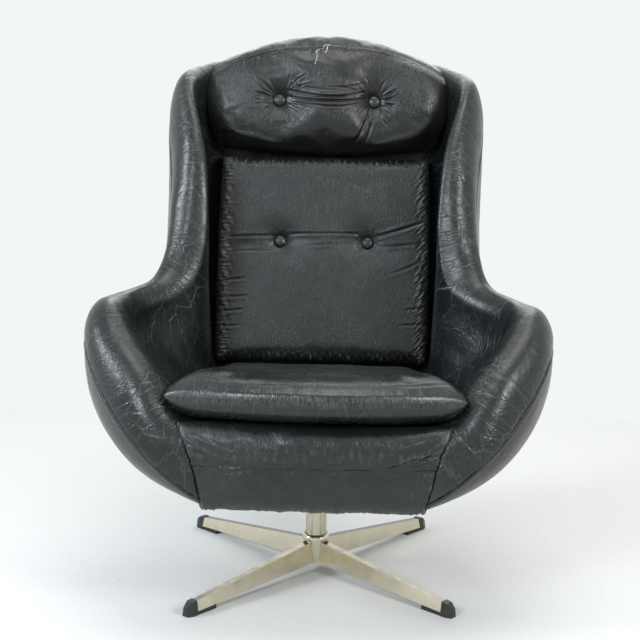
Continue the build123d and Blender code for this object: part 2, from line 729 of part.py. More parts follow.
def leg_section(reach, ridge, foot, bottom, top):
    """Cross-section of a leg at this reach: flat foot, sloping sides and a flat ridge."""
    corners = [(-foot / 2, bottom), (foot / 2, bottom), (ridge / 2, top), (-ridge / 2, top)]
    return make_face(Polyline(*[(reach, y, z) for y, z in corners], close=True))


def leg_at(share):
    """Ridge width, foot width, bottom and top of a leg at this share of its length."""
    return [
        root + (tip - root) * share
        for root, tip in (
            (LEG_ROOT_RIDGE, LEG_TIP_RIDGE),
            (LEG_ROOT_FOOT, LEG_TIP_FOOT),
            (LEG_ROOT_BOTTOM, LEG_TIP_BOTTOM),
            (LEG_ROOT_TOP, LEG_TIP_TOP),
        )
    ]


def leg_reach():
    """How far the folded leg itself reaches: the rest is the cap's nose."""
    return STAR_REACH - CAP_NOSE


def make_leg():
    """Folded sheet leg, open underneath, ending square at the hub."""
    ridge, foot, bottom, top = leg_at(0)
    tip_ridge, tip_foot, tip_bottom, tip_top = leg_at(1)
    outside = loft(
        [
            leg_section(0, ridge, foot, bottom, top),
            leg_section(leg_reach(), tip_ridge, tip_foot, tip_bottom, tip_top),
        ],
        ruled=True,
    )
    thin = LEG_WALL * 2
    inside = loft(
        [
            leg_section(0, ridge - thin, foot - thin, bottom, top - LEG_WALL),
            leg_section(
                leg_reach(), tip_ridge - thin, tip_foot - thin, tip_bottom, tip_top - LEG_WALL
            ),
        ],
        ruled=True,
    )
    return outside - inside - Cylinder(HUB_RADIUS + SEATED_CLEARANCE, COLUMN_TOP)


def make_cap():
    """Plastic end cap: a tapered nose, a pad under the leg and a plug inside it."""
    reach = leg_reach() + SEATED_CLEARANCE
    ridge, foot, bottom, top = leg_at(1)
    wide = CAP_LIP * 2
    nose = loft(
        [
            leg_section(reach, ridge + wide, foot + wide, 0, top + CAP_LIP),
            leg_section((reach + STAR_REACH) / 2, ridge + wide, foot + wide, 0, top),
            leg_section(
                STAR_REACH, ridge * CAP_NOSE_SHARE, foot * CAP_NOSE_SHARE, 0, top * CAP_NOSE_SHARE
            ),
        ],
        ruled=True,
    )
    start_share = 1 - CAP_PAD / leg_reach()
    start_foot, start_bottom = leg_at(start_share)[1:3]
    pad_outline = make_face(
        Polyline(
            (reach - CAP_PAD, 0, 0), (reach, 0, 0), (reach, 0, bottom - SEATED_CLEARANCE),
            (reach - CAP_PAD, 0, start_bottom - SEATED_CLEARANCE), close=True,
        )
    )
    pad = extrude(pad_outline, start_foot / 2, both=True)
    inset = (LEG_WALL + SEATED_CLEARANCE) * 2
    plug_share = 1 - CAP_PLUG / leg_reach()
    plug = loft(
        [
            leg_section(
                place, values[0] - inset, values[1] - inset, values[2] - SEATED_CLEARANCE,
                values[3] - LEG_WALL - SEATED_CLEARANCE * 2,
            )
            for place, values in (
                (reach - CAP_PLUG, leg_at(plug_share)),
                (reach, leg_at(1)),
            )
        ],
        ruled=True,
    )
    return nose + pad + plug


parts = {
    "hub_tube": make_hub(),
    "column_tube": make_column(),
    "column_collar": make_collar(),
    "lower_bush": make_lower_bush(),
    "upper_bush": make_upper_bush(),
    "spindle": make_spindle(),
    "retaining_washer": make_retaining_washer(),
    "retaining_screw": make_retaining_screw(),
    "seat_plate": make_seat_plate(),
    "plate_bolts": make_plate_bolts(),
    "mounting_block": make_mounting_block(),
    "centre_foam": make_centre_foam(),
    "front_rail": make_front_rail(),
    "deck_cover": make_deck_cover(),
    "outer_cover": make_outer_cover(),
    "tub_shell": make_shell(),
    "tub_padding": make_padding(),
    "front_apron": make_apron(),
    "seat_cushion": make_seat_cushion(),
}
nest = padding_nest()
parts["back_cushion"], back_buttons = make_back_cushion(nest)
parts["head_cushion"], head_buttons = make_head_cushion(nest)
for side, back_button, head_button in zip(("left", "right"), back_buttons, head_buttons):
    parts[f"back_button_{side}"] = back_button
    parts[f"head_button_{side}"] = head_button
for index, name in enumerate(LEG_NAMES):
    turn = Rot(0, 0, STAR_TURN + (index + LEG_TURN_SHARE) * 360 / len(LEG_NAMES))
    parts[f"star_leg_{name}"] = turn * make_leg()
    parts[f"foot_cap_{name}"] = turn * make_cap()

os.makedirs("parts", exist_ok=True)
for name, solid in parts.items():
    print(name, solid.is_valid, round(solid.volume))
    export_step(solid, f"parts/{name}.step")
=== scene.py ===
"""Looks of the swivel armchair: leatherette over foam, plated star base, pale studio."""

from math import cos, pi, radians, sin, tan

import bpy
import numpy as np
from mathutils import Matrix, Vector
from mathutils.kdtree import KDTree


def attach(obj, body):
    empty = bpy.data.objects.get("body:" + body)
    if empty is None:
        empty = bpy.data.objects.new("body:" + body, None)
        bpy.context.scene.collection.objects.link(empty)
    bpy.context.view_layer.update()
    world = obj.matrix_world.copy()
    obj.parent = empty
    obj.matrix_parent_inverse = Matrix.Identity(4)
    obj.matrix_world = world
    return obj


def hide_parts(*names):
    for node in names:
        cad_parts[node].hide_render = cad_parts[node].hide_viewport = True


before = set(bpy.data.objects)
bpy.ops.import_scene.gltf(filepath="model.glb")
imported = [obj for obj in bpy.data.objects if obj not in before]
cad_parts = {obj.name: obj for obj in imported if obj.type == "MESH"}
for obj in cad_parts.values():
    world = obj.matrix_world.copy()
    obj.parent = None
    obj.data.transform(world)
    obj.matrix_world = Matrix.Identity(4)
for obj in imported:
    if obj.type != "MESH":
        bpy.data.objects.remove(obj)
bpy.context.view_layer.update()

# Photograph's camera, in the frame of the seat
LENS = 73.94
CAMERA_PLACE = Vector((0.0409, -2.3790, 0.9286))
CAMERA_YAW = radians(1.0)
CAMERA_PITCH = radians(10.653)
CAMERA_ROLL = radians(1.1956)

# Tub, as sections in upright planes through the swivel axis
TUB_BOTTOM = 0.215
TUB_HOLE = 0.095
TUB_REACH = 0.400
TUB_RISE = 0.720
DECK_AXIS_HEIGHT = 0.309
DECK_SLOPE = radians(10.5)
MOUTH_HALF_ANGLE = radians(18)
COVER_THICKNESS = 0.002
SHELL_DEPTH = 0.0035
SHELL_THICKNESS = 0.003
LINING_DEPTH = 0.009
TUB_SECTION_SHARES = [
    (0, 0.900, 0.850, 0.395, 0.965, 0.988, 0.145, 0.044, 0.30, 0.555, 0.00),
    (20, 0.920, 0.885, 0.395, 0.995, 0.988, 0.145, 0.047, 0.30, 0.570, 0.15),
    (35, 0.950, 0.930, 0.385, 1.005, 0.963, 0.145, 0.056, 0.30, 0.600, 0.60),
    (47, 0.920, 0.920, 0.370, 0.965, 0.926, 0.145, 0.070, 0.30, 0.610, 0.90),
    (57, 0.880, 0.880, 0.345, 0.905, 0.857, 0.170, 0.097, 0.30, 0.605, 0.55),
    (66, 0.870, 0.860, 0.310, 0.800, 0.746, 0.185, 0.111, 0.30, 0.570, 0.20),
    (74, 0.850, 0.850, 0.250, 0.745, 0.632, 0.190, 0.108, 0.30, 0.545, 0.00),
    (82, 0.840, 0.870, 0.220, 0.740, 0.508, 0.195, 0.086, 0.30, 0.540, 0.00),
    (90, 0.850, 0.900, 0.200, 0.795, 0.428, 0.200, 0.061, 0.30, 0.545, 0.00),
    (98, 0.900, 0.985, 0.180, 0.910, 0.396, 0.205, 0.058, 0.30, 0.580, 0.00),
    (107, 0.940, 1.060, 0.170, 1.040, 0.376, 0.205, 0.069, 0.30, 0.640, 0.00),
    (117, 0.960, 1.120, 0.155, 1.112, 0.354, 0.210, 0.089, 0.35, 0.700, 0.00),
    (127, 0.960, 1.130, 0.112, 1.135, 0.282, 0.230, 0.103, 0.45, 0.770, 0.00),
    (137, 0.950, 1.090, 0.060, 1.125, 0.188, 0.235, 0.125, 0.60, 0.800, 0.00),
    (146, 0.900, 1.010, 0.025, 1.075, 0.101, 0.225, 0.114, 0.90, 0.760, 0.00),
    (153, 0.850, 0.950, 0.008, 1.005, 0.046, 0.200, 0.166, 0.95, 0.740, 0.00),
    (162, 0.820, 0.900, 0.005, 0.963, 0.035, 0.200, 0.176, 0.97, 0.740, 0.00),
]
ROLL_PULL_SHARE = 4 / 3
INNER_PULL_SHARE = 0.4

# Front apron and the mouth that it fills
APRON_BACK = 0.330
APRON_DEPTH = 0.040
APRON_BOTTOM = 0.231
APRON_TOP = 0.367
APRON_CREASE = 0.306
APRON_BOTTOM_HALF = 0.181
APRON_TOP_HALF = 0.212
APRON_PLAN_SAG = 0.012

# Seat cushion, lying on the sloping deck
CUSHION_FRONT = 0.392
CUSHION_TIP_SETBACK = 0.048
CUSHION_LENGTH = 0.482
CUSHION_FRONT_HALF = 0.249
CUSHION_REAR_HALF = 0.196
CUSHION_THICKNESS = 0.084

# Back and head cushions, in their leaning plane
BACK_LEAN = radians(12.5)
BACK_BOTTOM = 0.349
BACK_REAR = 0.212
BACK_HEIGHT = 0.412
BACK_BOTTOM_HALF = 0.213
BACK_TOP_HALF = 0.208
BACK_THICKNESS = 0.092
BACK_BUTTON_X = 0.086
BACK_BUTTON_Y = 0.240
HEAD_BOTTOM = 0.4215
HEAD_HEIGHT = 0.228
HEAD_HALF = 0.230
HEAD_BOTTOM_HALF = 0.212
HEAD_SHOULDER = 0.172
HEAD_SAG = 0.008
HEAD_THICKNESS = 0.112
HEAD_STANDOFF = 0.022
HEAD_SEAM_DROP = 0.030
HEAD_SPLIT = [
    (-0.024, 0.160), (-0.020, 0.174), (-0.022, 0.188), (-0.012, 0.192), (-0.005, 0.201),
    (0.001, 0.202), (-0.004, 0.183),
]
HEAD_BUTTON_X = 0.092
HEAD_BUTTON_Y = 0.093
BUTTON_RADIUS = 0.013

# Surroundings
BACKGROUND = (0.887, 0.922, 0.913, 1)
WORLD_STRENGTH = 0.38
FLOOR_REACH = 8.0
FLOOR_REAR = 1.16
FLOOR_FADE = (1.3, 3.4)
LAMP_AIM = Vector((0, 0, 0.55))

# Cloth
CLOTH_FRAMES = 20
CLOTH_GRID = 120
CLOTH_SOFTENING = 6
CLOTH_SETTINGS = {
    "quality": 5, "mass": 0.25, "tension_stiffness": 30, "compression_stiffness": 20,
    "shear_stiffness": 10, "bending_stiffness": 1.5, "use_pressure": True,
    "vertex_group_mass": "held",
}


# Small tools for arrays and meshes


def make_piece(name, points, faces, uvs, material, body, slot, *nodes, **traits):
    """A smooth mesh piece that rides on a body, stands for nodes and has one UV per point.

    Traits for the material, from 0 to 1 at each point: the pale-mark trait is wear, and on the
    back cushion's side bands also a painted highlight; calm is a plainer emboss.
    """
    mesh = bpy.data.meshes.new(name)
    mesh.from_pydata([tuple(p) for p in points], [], [tuple(int(k) for k in f) for f in faces])
    mesh.update()
    layer = mesh.uv_layers.new(name="UVMap")
    corners = np.zeros(len(mesh.loops), np.int32)
    mesh.loops.foreach_get("vertex_index", corners)
    layer.data.foreach_set("uv", np.asarray(uvs, float)[corners].ravel())
    mesh.polygons.foreach_set("use_smooth", [True] * len(mesh.polygons))
    for trait, values in traits.items():
        mesh.attributes.new(trait, "FLOAT", "POINT").data.foreach_set("value", np.ravel(values))
    mesh.materials.append(material)
    piece = bpy.data.objects.new(name, mesh)
    bpy.context.scene.collection.objects.link(piece)
    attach(piece, body)
    if nodes:
        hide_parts(*nodes)
    return piece


def grid_quads(rows, columns, wrap=False):
    """Quads of a grid of points stored row by row, its columns closed into rings if wrapped."""
    index = np.arange(rows * columns).reshape(rows, columns)
    if wrap:
        index = np.hstack([index, index[:, :1]])
    corners = (index[:-1, :-1], index[:-1, 1:], index[1:, 1:], index[1:, :-1])
    return [tuple(q) for q in np.stack([c.ravel() for c in corners], 1)]


def make_sweep(name, shown, hidden, uvs, material, slot, node, **traits):
    """A closed form swept round the tub from its shown face, its hidden face and two end caps."""
    loop = np.concatenate([shown, hidden], 1)
    rows, columns = loop.shape[:2]
    faces = grid_quads(rows, columns, wrap=True)
    faces += [tuple(range(columns))[::-1], tuple(range((rows - 1) * columns, rows * columns))]
    return make_piece(name, loop.reshape(-1, 3), faces, uvs.reshape(-1, 2), material,
                      "seat", slot, node, **traits)


def natural_spline(knots, values, at):
    """Values of a natural cubic spline through the knots, one column for each quantity."""
    knots = np.asarray(knots, float)
    values = np.asarray(values, float)
    count = len(knots)
    gaps = np.diff(knots)
    system = np.zeros((count, count))
    right = np.zeros_like(values)
    system[0, 0] = system[-1, -1] = 1
    for k in range(1, count - 1):
        system[k, k - 1] = gaps[k - 1]
        system[k, k] = 2 * (gaps[k - 1] + gaps[k])
        system[k, k + 1] = gaps[k]
        step = (values[k + 1] - values[k]) / gaps[k] - (values[k] - values[k - 1]) / gaps[k - 1]
        right[k] = 6 * step
    bend = np.linalg.solve(system, right)
    k = np.clip(np.searchsorted(knots, at) - 1, 0, count - 2)
    gap = gaps[k][:, None]
    after = (at - knots[k])[:, None] / gap
    before = 1 - after
    curve = (before**3 - before) * bend[k] + (after**3 - after) * bend[k + 1]
    return before * values[k] + after * values[k + 1] + curve * gap**2 / 6


def bezier(poles, share):
    """Points of cubic curves: poles is (curves, 4, 2), share is (points,)."""
    t = share[None, :, None]
    first, second, third, last = (poles[:, k][:, None, :] for k in range(4))
    return (
        (1 - t) ** 3 * first
        + 3 * (1 - t) ** 2 * t * second
        + 3 * (1 - t) * t**2 * third
        + t**3 * last
    )


def wave_noise(places, size, seed, octaves=3):
    """Smooth noise from -1 to 1 over an array of places, as a few sums of random waves."""
    rng = np.random.default_rng(seed)
    places = np.asarray(places, float)
    total = np.zeros(places.shape[:-1])
    weight = 0.0
    for octave in range(octaves):
        scale = size / 2**octave
        strength = 0.55**octave
        for _ in range(7):
            way = rng.normal(size=places.shape[-1])
            way *= 2 * pi / (scale * np.linalg.norm(way)) * rng.uniform(0.6, 1.4)
            total += strength * np.sin(places @ way + rng.uniform(0, 2 * pi))
        weight += strength * 7**0.5
    return total / weight


def vertex_normals(grid):
    """Unit normals of a (rows, columns, 3) grid of points."""
    across = np.gradient(grid, axis=1)
    along = np.gradient(grid, axis=0)
    normal = np.cross(along, across)
    return normal / np.maximum(np.linalg.norm(normal, axis=2, keepdims=True), 1e-12)


def bell(away, width):
    """1 at a distance of 0, falling to both sides as a bell curve."""
    return np.exp(-((away / width) ** 2))


def slide(share, start, end):
    """From the start at a share of 0 to the end at 1."""
    return start + (end - start) * share


def smooth_step(low, high, value):
    share = np.clip((value - low) / (high - low), 0, 1)
    return share * share * (3 - 2 * share)


def pair(x, y):
    """Two grids of numbers as a grid of places."""
    return np.stack([x, y], 2)


def in_mm(rows):
    """Rows of millimetres as metres."""
    return [tuple(number / 1000 for number in row) for row in rows]


def fold_relief(x, y, folds):
    """Depth of listed folds: each has two ends, a bow, a width and a depth."""
    total = np.zeros_like(x)
    for x0, y0, x1, y1, bow, width, depth in folds:
        length = ((x1 - x0) ** 2 + (y1 - y0) ** 2) ** 0.5
        way = ((x1 - x0) / length, (y1 - y0) / length)
        along = ((x - x0) * way[0] + (y - y0) * way[1]) / length
        away = (y - y0) * way[0] - (x - x0) * way[1]
        held = np.clip(along, 0, 1)
        away = away - bow * 4 * held * (1 - held)
        past = np.where(along < 0, -along, np.where(along > 1, along - 1, 0)) * length
        distance = np.sqrt(away**2 + past**2)
        taper = np.sin(pi * np.clip(held, 0.02, 0.98)) ** 0.45 * bell(past, width)
        groove = bell(distance, width)
        shoulder = np.exp(-(((distance - 2.1 * width) / (1.2 * width)) ** 2))
        total += depth * taper * (0.45 * shoulder - groove)
    return total


def radial_folds(centre, turns, inner, outer, width, depth, seed):
    """Folds that run out from a button, at angles in degrees with a little irregularity."""
    rng = np.random.default_rng(seed)
    folds = []
    for turn in turns:
        angle = radians(turn + rng.uniform(-4, 4))
        end = outer * rng.uniform(0.7, 1.15)
        start = inner * rng.uniform(0.9, 1.25)
        folds.append(
            (
                centre[0] + start * cos(angle), centre[1] + start * sin(angle),
                centre[0] + end * cos(angle), centre[1] + end * sin(angle),
                rng.uniform(-0.004, 0.004), width * rng.uniform(0.75, 1.25),
                depth * rng.uniform(0.6, 1.2),
            )
        )
    return folds


# Materials

VECTOR_TO_NUMBER = ("DOT_PRODUCT", "DISTANCE", "LENGTH")


class Nodes:
    """Short way to add and link nodes of a tree."""

    def __init__(self, tree):
        self.tree = tree
        tree.nodes.clear()

    def add(self, kind, **values):
        """A new node; names with a capital are its sockets, the others its settings.

        The settings come first, because some of them change the sockets.
        """
        node = self.tree.nodes.new(kind)
        for key, value in values.items():
            if key[0].isupper():
                self.feed(node.inputs[key.replace("_", " ")], value)
            else:
                setattr(node, key, value)
        return node

    def link(self, start, end):
        self.tree.links.new(start, end)

    def feed(self, socket, value):
        if isinstance(value, bpy.types.NodeSocket):
            self.link(value, socket)
        else:
            socket.default_value = value

    def math(self, operation, first, second=0.0, third=0.0, clamp=False):
        node = self.add("ShaderNodeMath", operation=operation, use_clamp=clamp)
        for socket, value in zip(node.inputs, (first, second, third)):
            self.feed(socket, value)
        return node.outputs[0]

    def vector(self, operation, *values):
        """Vector arithmetic: a number for a product, distance or length, otherwise a vector."""
        node = self.add("ShaderNodeVectorMath", operation=operation)
        for socket, value in zip(node.inputs, values):
            self.feed(socket, value)
        return node.outputs["Value" if operation in VECTOR_TO_NUMBER else "Vector"]

    def mix(self, share, first, second, **settings):
        node = self.add("ShaderNodeMix", data_type="RGBA", **settings)
        for index, value in ((0, share), (6, first), (7, second)):
            self.feed(node.inputs[index], value)
        return node.outputs[2]

    def blend(self, share, first, second):
        """Mix of two shaders."""
        node = self.add("ShaderNodeMixShader")
        for socket, value in zip(node.inputs, (share, first, second)):
            self.feed(socket, value)
        return node.outputs[0]

    def ramp(self, value, low, high, start=0.0, end=1.0):
        node = self.add("ShaderNodeMapRange", interpolation_type="SMOOTHSTEP")
        for socket, number in zip(node.inputs, (value, low, high, start, end)):
            self.feed(socket, number)
        return node.outputs[0]

    def place(self, kind):
        return self.add("ShaderNodeTexCoord").outputs[kind]

    def scaled(self, vector, x, y, z=1.0, turn=0.0):
        node = self.add("ShaderNodeMapping", Vector=vector, Scale=(x, y, z), Rotation=(0, 0, turn))
        return node.outputs[0]

    def noise(self, vector, scale, detail=3.0, rough=0.55, output="Fac"):
        node = self.add("ShaderNodeTexNoise", Vector=vector, Scale=scale, Detail=detail,
                        Roughness=rough)
        return node.outputs[output]

    def cells(self, vector, scale, random=1.0):
        """Distance to the edges of irregular cells."""
        node = self.add("ShaderNodeTexVoronoi", feature="DISTANCE_TO_EDGE", Vector=vector,
                        Scale=scale, Randomness=random)
        return node.outputs[0]

    def trait(self, name):
        return self.add("ShaderNodeAttribute", attribute_name=name).outputs["Fac"]

    def bump(self, height, distance, strength=1.0, under=None):
        node = self.add("ShaderNodeBump", Height=height, Distance=distance, Strength=strength)
        if under is not None:
            self.link(under, node.inputs["Normal"])
        return node.outputs[0]

    def background_rays(self):
        """1 for rays from the camera and for those that metal or glass sends on."""
        path = self.add("ShaderNodeLightPath").outputs
        seen = self.math("MAXIMUM", path["Is Camera Ray"], path["Is Glossy Ray"])
        return self.math("MAXIMUM", seen, path["Is Transmission Ray"])


class Finish(Nodes):
    """A material with one principled shader."""

    def __init__(self, name):
        self.material = bpy.data.materials.new(name)
        self.material.use_nodes = True
        super().__init__(self.material.node_tree)
        self.shader = self.add("ShaderNodeBsdfPrincipled")
        self.output = self.add("ShaderNodeOutputMaterial", Surface=self.shader.outputs["BSDF"])

    def set(self, **sockets):
        """Numbers, colours or links for the shader's own sockets."""
        for key, value in sockets.items():
            self.feed(self.shader.inputs[key.replace("_", " ")], value)


def warped(nodes, vector, scale, amount):
    """A vector pushed about by noise, so that straight patterns wander."""
    noise = nodes.noise(vector, scale, detail=2.0, output="Color")
    centred = nodes.vector("SUBTRACT", noise, (0.5, 0.5, 0.5))
    return nodes.vector("MULTIPLY_ADD", centred, (amount, amount, amount), vector)


def split_mask(nodes, place, line, width):
    """1 along a broken line of the UV map, 0 away from it."""
    mask = None
    for start, end in zip(line[:-1], line[1:]):
        run = (end[0] - start[0], end[1] - start[1])
        square = run[0] ** 2 + run[1] ** 2
        away = nodes.vector("SUBTRACT", place, (*start, 0))
        along = nodes.vector("DOT_PRODUCT", away, (run[0] / square, run[1] / square, 0))
        share = nodes.math("ADD", along, 0.0, clamp=True)
        gap = nodes.vector("DISTANCE", away, nodes.vector("MULTIPLY", (*run, 0), share))
        part = nodes.ramp(gap, width * 0.5, width, 1.0, 0.0)
        mask = part if mask is None else nodes.math("MAXIMUM", mask, part)
    return mask


def leatherette(name, across=55.0, along=12.0, relief=1.0, wear=0.4, crackle=1.0, regular=False,
                split=(), deep_from=0.3, rough=0.28, dusty=0.0, depth=1.0):
    """Black embossed leatherette: long scales between grooves, fine crackle, rubbed ridges.

    across and along count the scales in a metre each way of the UV map, which is in metres. The
    split is a broken line of the UV map where the cover has torn to its pale backing. Between
    patches with deep grooves the grooves keep the share deep_from of their depth. Rough is the
    mean roughness, dusty is how pale the grooves are, and depth scales the black; a depth below
    1 is painted shade, a darker copy of the same leather.
    """
    nodes = Finish(name)
    place = nodes.place("UV")
    wander = warped(nodes, place, 8.0, 0.008)
    wander = warped(nodes, wander, 40.0, 0.0020)
    loose = 0.45 if regular else 0.9
    scales = nodes.cells(nodes.scaled(wander, across, along), 1.0, random=loose)
    minor = nodes.cells(nodes.scaled(wander, across * 2.6, along * 2.2), 1.0)
    fine = nodes.cells(nodes.scaled(wander, 300.0, 210.0), 1.0)
    lines = nodes.noise(nodes.scaled(wander, across * 7.0, along * 1.2), 1.0, 4.0)
    crease = nodes.cells(nodes.scaled(wander, 170.0, 95.0, turn=0.3), 1.0)
    pebble = nodes.noise(place, 1400.0, 2.0, 0.6)
    patch = nodes.noise(place, 6.0, 4.0, 0.6)
    spread = nodes.noise(place, 13.0, 3.0, 0.6)
    groove = nodes.ramp(scales, 0.0, 0.045)
    show = nodes.ramp(nodes.noise(place, 9.0, 3.0, 0.6), 0.40, 0.58, deep_from, 1.0)
    marked = nodes.ramp(spread, 0.38, 0.62, 0.25, 1.0)
    lively = nodes.math("MULTIPLY_ADD", nodes.trait("calm"), -0.75, 0.9)
    bump = nodes.bump(pebble, 0.00005, 0.6)
    for height, gate, distance, strength in (
        (nodes.ramp(fine, 0.0, 0.16), marked, 0.00010 * crackle, 0.8),
        (nodes.ramp(crease, 0.0, 0.09), marked, 0.00020 * crackle, 0.8),
        (lines, None, 0.00026 * relief, lively),
        (nodes.ramp(minor, 0.0, 0.06), marked, 0.00022 * relief, lively),
        (groove, show, 0.00050 * relief, lively),
    ):
        height = height if gate is None else nodes.math("MULTIPLY", height, gate)
        bump = nodes.bump(height, distance, strength, bump)

    crest = nodes.math("MAXIMUM", nodes.ramp(lines, 0.58, 0.74), nodes.ramp(crease, 0.05, 0.0))
    rubbed = nodes.math("MULTIPLY", crest, nodes.ramp(patch, 0.46, 0.66))
    scratch = nodes.noise(nodes.scaled(wander, 30.0, 700.0, turn=0.5), 1.0, 2.0)
    hair = nodes.math("MULTIPLY", nodes.ramp(scratch, 0.66, 0.72), nodes.ramp(spread, 0.5, 0.6))
    rubbed = nodes.math("MAXIMUM", rubbed, hair)
    rubbed = nodes.math("MULTIPLY", rubbed, nodes.math("MULTIPLY", lively, wear), clamp=True)
    # Pale marks traced on the points: wear, and on the back cushion's side bands a painted
    # highlight
    frayed = nodes.ramp(nodes.noise(place, 420.0, 3.0, 0.7), 0.42, 0.60)
    traced_wear_and_sheen = nodes.math("MULTIPLY", nodes.trait("rub"), frayed)
    rubbed = nodes.math("MAXIMUM", rubbed, traced_wear_and_sheen)
    if split:
        torn = split_mask(nodes, warped(nodes, place, 160.0, 0.006), split, 0.0011)
        rubbed = nodes.math("MAXIMUM", rubbed, nodes.math("MULTIPLY", torn, 4.0))
    # A depth below 1 darkens both tones: painted shade
    low, high = ([part * depth for part in tone] + [1]
                 for tone in ((0.0050, 0.0062, 0.0068), (0.0105, 0.0125, 0.0132)))
    dark = nodes.mix(patch, low, high)
    line = nodes.math("MULTIPLY", groove, nodes.ramp(minor, 0.0, 0.035, 0.45, 1.0))
    line = nodes.math("MULTIPLY", nodes.math("SUBTRACT", 1.0, line), show)
    dark = nodes.mix(nodes.math("MULTIPLY", line, dusty), dark, (0.040, 0.046, 0.042, 1))
    # Pale colour for wear, and for the back cushion's painted highlight
    colour = nodes.mix(rubbed, dark, (0.100, 0.108, 0.102, 1), clamp_factor=False)
    gloss = nodes.ramp(patch, 0.25, 0.8, rough - 0.06, rough + 0.06)
    gloss = nodes.math("MULTIPLY_ADD", rubbed, 0.25, gloss)
    nodes.set(Normal=bump, Base_Color=colour, Roughness=gloss, Specular_IOR_Level=0.5)
    return nodes.material


def plated_metal():
    """Nickel-chrome plating, slightly warm and brushed by cleaning."""
    nodes = Finish("plated_metal")
    place = nodes.place("Object")
    haze = nodes.noise(place, 38.0, 4.0, 0.6)
    rub = nodes.noise(nodes.scaled(place, 60.0, 60.0, 900.0), 1.0, 2.0)
    colour = nodes.mix(haze, (0.50, 0.455, 0.345, 1), (0.72, 0.675, 0.54, 1))
    facing = nodes.add("ShaderNodeNewGeometry").outputs["True Normal"]
    lie = nodes.add("ShaderNodeSeparateXYZ", Vector=facing)
    ridge = nodes.ramp(lie.outputs["Z"], 0.90, 0.96)
    nodes.set(
        Base_Color=nodes.mix(ridge, colour, (0.17, 0.15, 0.12, 1)), Metallic=1.0,
        Roughness=nodes.ramp(haze, 0.2, 0.8, 0.14, 0.27), Normal=nodes.bump(rub, 0.00002, 0.5),
    )
    return nodes.material


def grained(name, low, high, rough, scale, relief, metallic=0.0, stretch=(1, 1, 1)):
    """A plain finish with a little mottling and grain, for moulded, painted and sawn surfaces."""
    nodes = Finish(name)
    place = nodes.scaled(nodes.place("Object"), *stretch)
    fleck = nodes.noise(place, scale, 4.0, 0.6)
    grain = nodes.noise(place, scale * 6, 2.0)
    nodes.set(
        Base_Color=nodes.mix(fleck, (*low, 1), (*high, 1)), Metallic=metallic,
        Roughness=nodes.ramp(fleck, 0.2, 0.8, rough - 0.08, rough + 0.08),
        Normal=nodes.bump(grain, relief, 0.6),
    )
    return nodes.material


# The tub


def row_poles():
    """Azimuths and the poles of skin, roll and inner face for the mirrored rows."""
    rows = [(-row[0],) + row[1:] for row in reversed(TUB_SECTION_SHARES[1:])]
    rows += TUB_SECTION_SHARES
    azimuths, poles = [], []
    for azimuth, flat, belly, belly_z, seam, seam_z, width, rise, ridge_share, foot, bow in rows:
        skin = [
            (TUB_HOLE, TUB_BOTTOM),
            (TUB_REACH * flat, TUB_BOTTOM),
            (TUB_REACH * belly, TUB_BOTTOM + TUB_RISE * belly_z),
            (TUB_REACH * seam, TUB_BOTTOM + TUB_RISE * seam_z),
        ]
        end = skin[-1]
        high = TUB_RISE * rise
        ridge = (end[0] - TUB_REACH * width, end[1] + high * ridge_share)
        roll = [
            end,
            (end[0], end[1] + high * ROLL_PULL_SHARE),
            (ridge[0], ridge[1] + high * (1 - ridge_share) * ROLL_PULL_SHARE),
            ridge,
        ]
        foot_reach = TUB_REACH * foot
        foot_z = DECK_AXIS_HEIGHT - foot_reach * cos(radians(azimuth)) * tan(DECK_SLOPE)
        drop = (ridge[1] - foot_z) * INNER_PULL_SHARE
        out = (ridge[0] - foot_reach) * bow
        inner = [ridge, (ridge[0], ridge[1] - drop), (foot_reach + out, foot_z + drop),
                 (foot_reach, foot_z)]
        azimuths.append(azimuth)
        poles.append(skin + roll + inner)
    return np.array(azimuths, float), np.array(poles)


def tub_sections(count):
    """Azimuths in radians and the interpolated poles of evenly spread sections."""
    azimuths, poles = row_poles()
    at = np.linspace(azimuths[0], azimuths[-1], count)
    flat = natural_spline(azimuths, poles.reshape(len(azimuths), -1), at)
    return np.radians(at), flat.reshape(count, -1, 2)


def inset_curve(curve, depth):
    """Section curves moved towards the seat by a depth."""
    way = np.gradient(curve, axis=1)
    way /= np.linalg.norm(way, axis=2, keepdims=True)
    return curve + depth * np.stack([-way[..., 1], way[..., 0]], 2)


def swept(azimuth, section):
    """Points in space of section curves (sections, points, 2) at their azimuths."""
    reach, rise = section[..., 0], section[..., 1]
    return np.stack(
        [reach * np.sin(azimuth)[:, None], reach * np.cos(azimuth)[:, None], rise], 2
    )


def apron_half(z):
    """Half the apron's width at a height."""
    slant = (APRON_TOP_HALF - APRON_BOTTOM_HALF) / (APRON_TOP - APRON_BOTTOM)
    return APRON_BOTTOM_HALF + (z - APRON_BOTTOM) * slant


def recess_for_apron(points, depth=0.006, behind=0.002):
    """Push the tub's front back behind the apron, with a short ramp inside its side seams."""
    x, y, z = points[..., 0], points[..., 1], points[..., 2]
    inside = smooth_step(0.0, depth, apron_half(z) - np.abs(x))
    limit = -APRON_BACK + behind
    moved = np.where(y < limit, y + (limit - y) * inside, y)
    return np.stack([x, moved, z], 2)


def edge_map(points, edge):
    """Length along an edge line of the spot nearest to each point, and the way to that spot."""
    run = np.concatenate([[0], np.cumsum(np.linalg.norm(np.diff(edge, axis=0), axis=1))])
    ahead = np.gradient(edge, axis=0)
    ahead /= np.linalg.norm(ahead, axis=1, keepdims=True)
    tree = KDTree(len(edge))
    for index, spot in enumerate(edge):
        tree.insert(spot, index)
    tree.balance()
    flat = points.reshape(-1, 3)
    near = np.array([tree.find(p)[1] for p in flat])
    away = flat - edge[near]
    along = run[near] + (away * ahead[near]).sum(1)
    return np.stack([along, np.linalg.norm(away, axis=1)], 1).reshape(points.shape[:2] + (2,))


def section_arc(curve):
    """Running length along each section curve."""
    step = np.linalg.norm(np.diff(curve, axis=1), axis=2)
    return np.concatenate([np.zeros((len(curve), 1)), np.cumsum(step, axis=1)], 1)


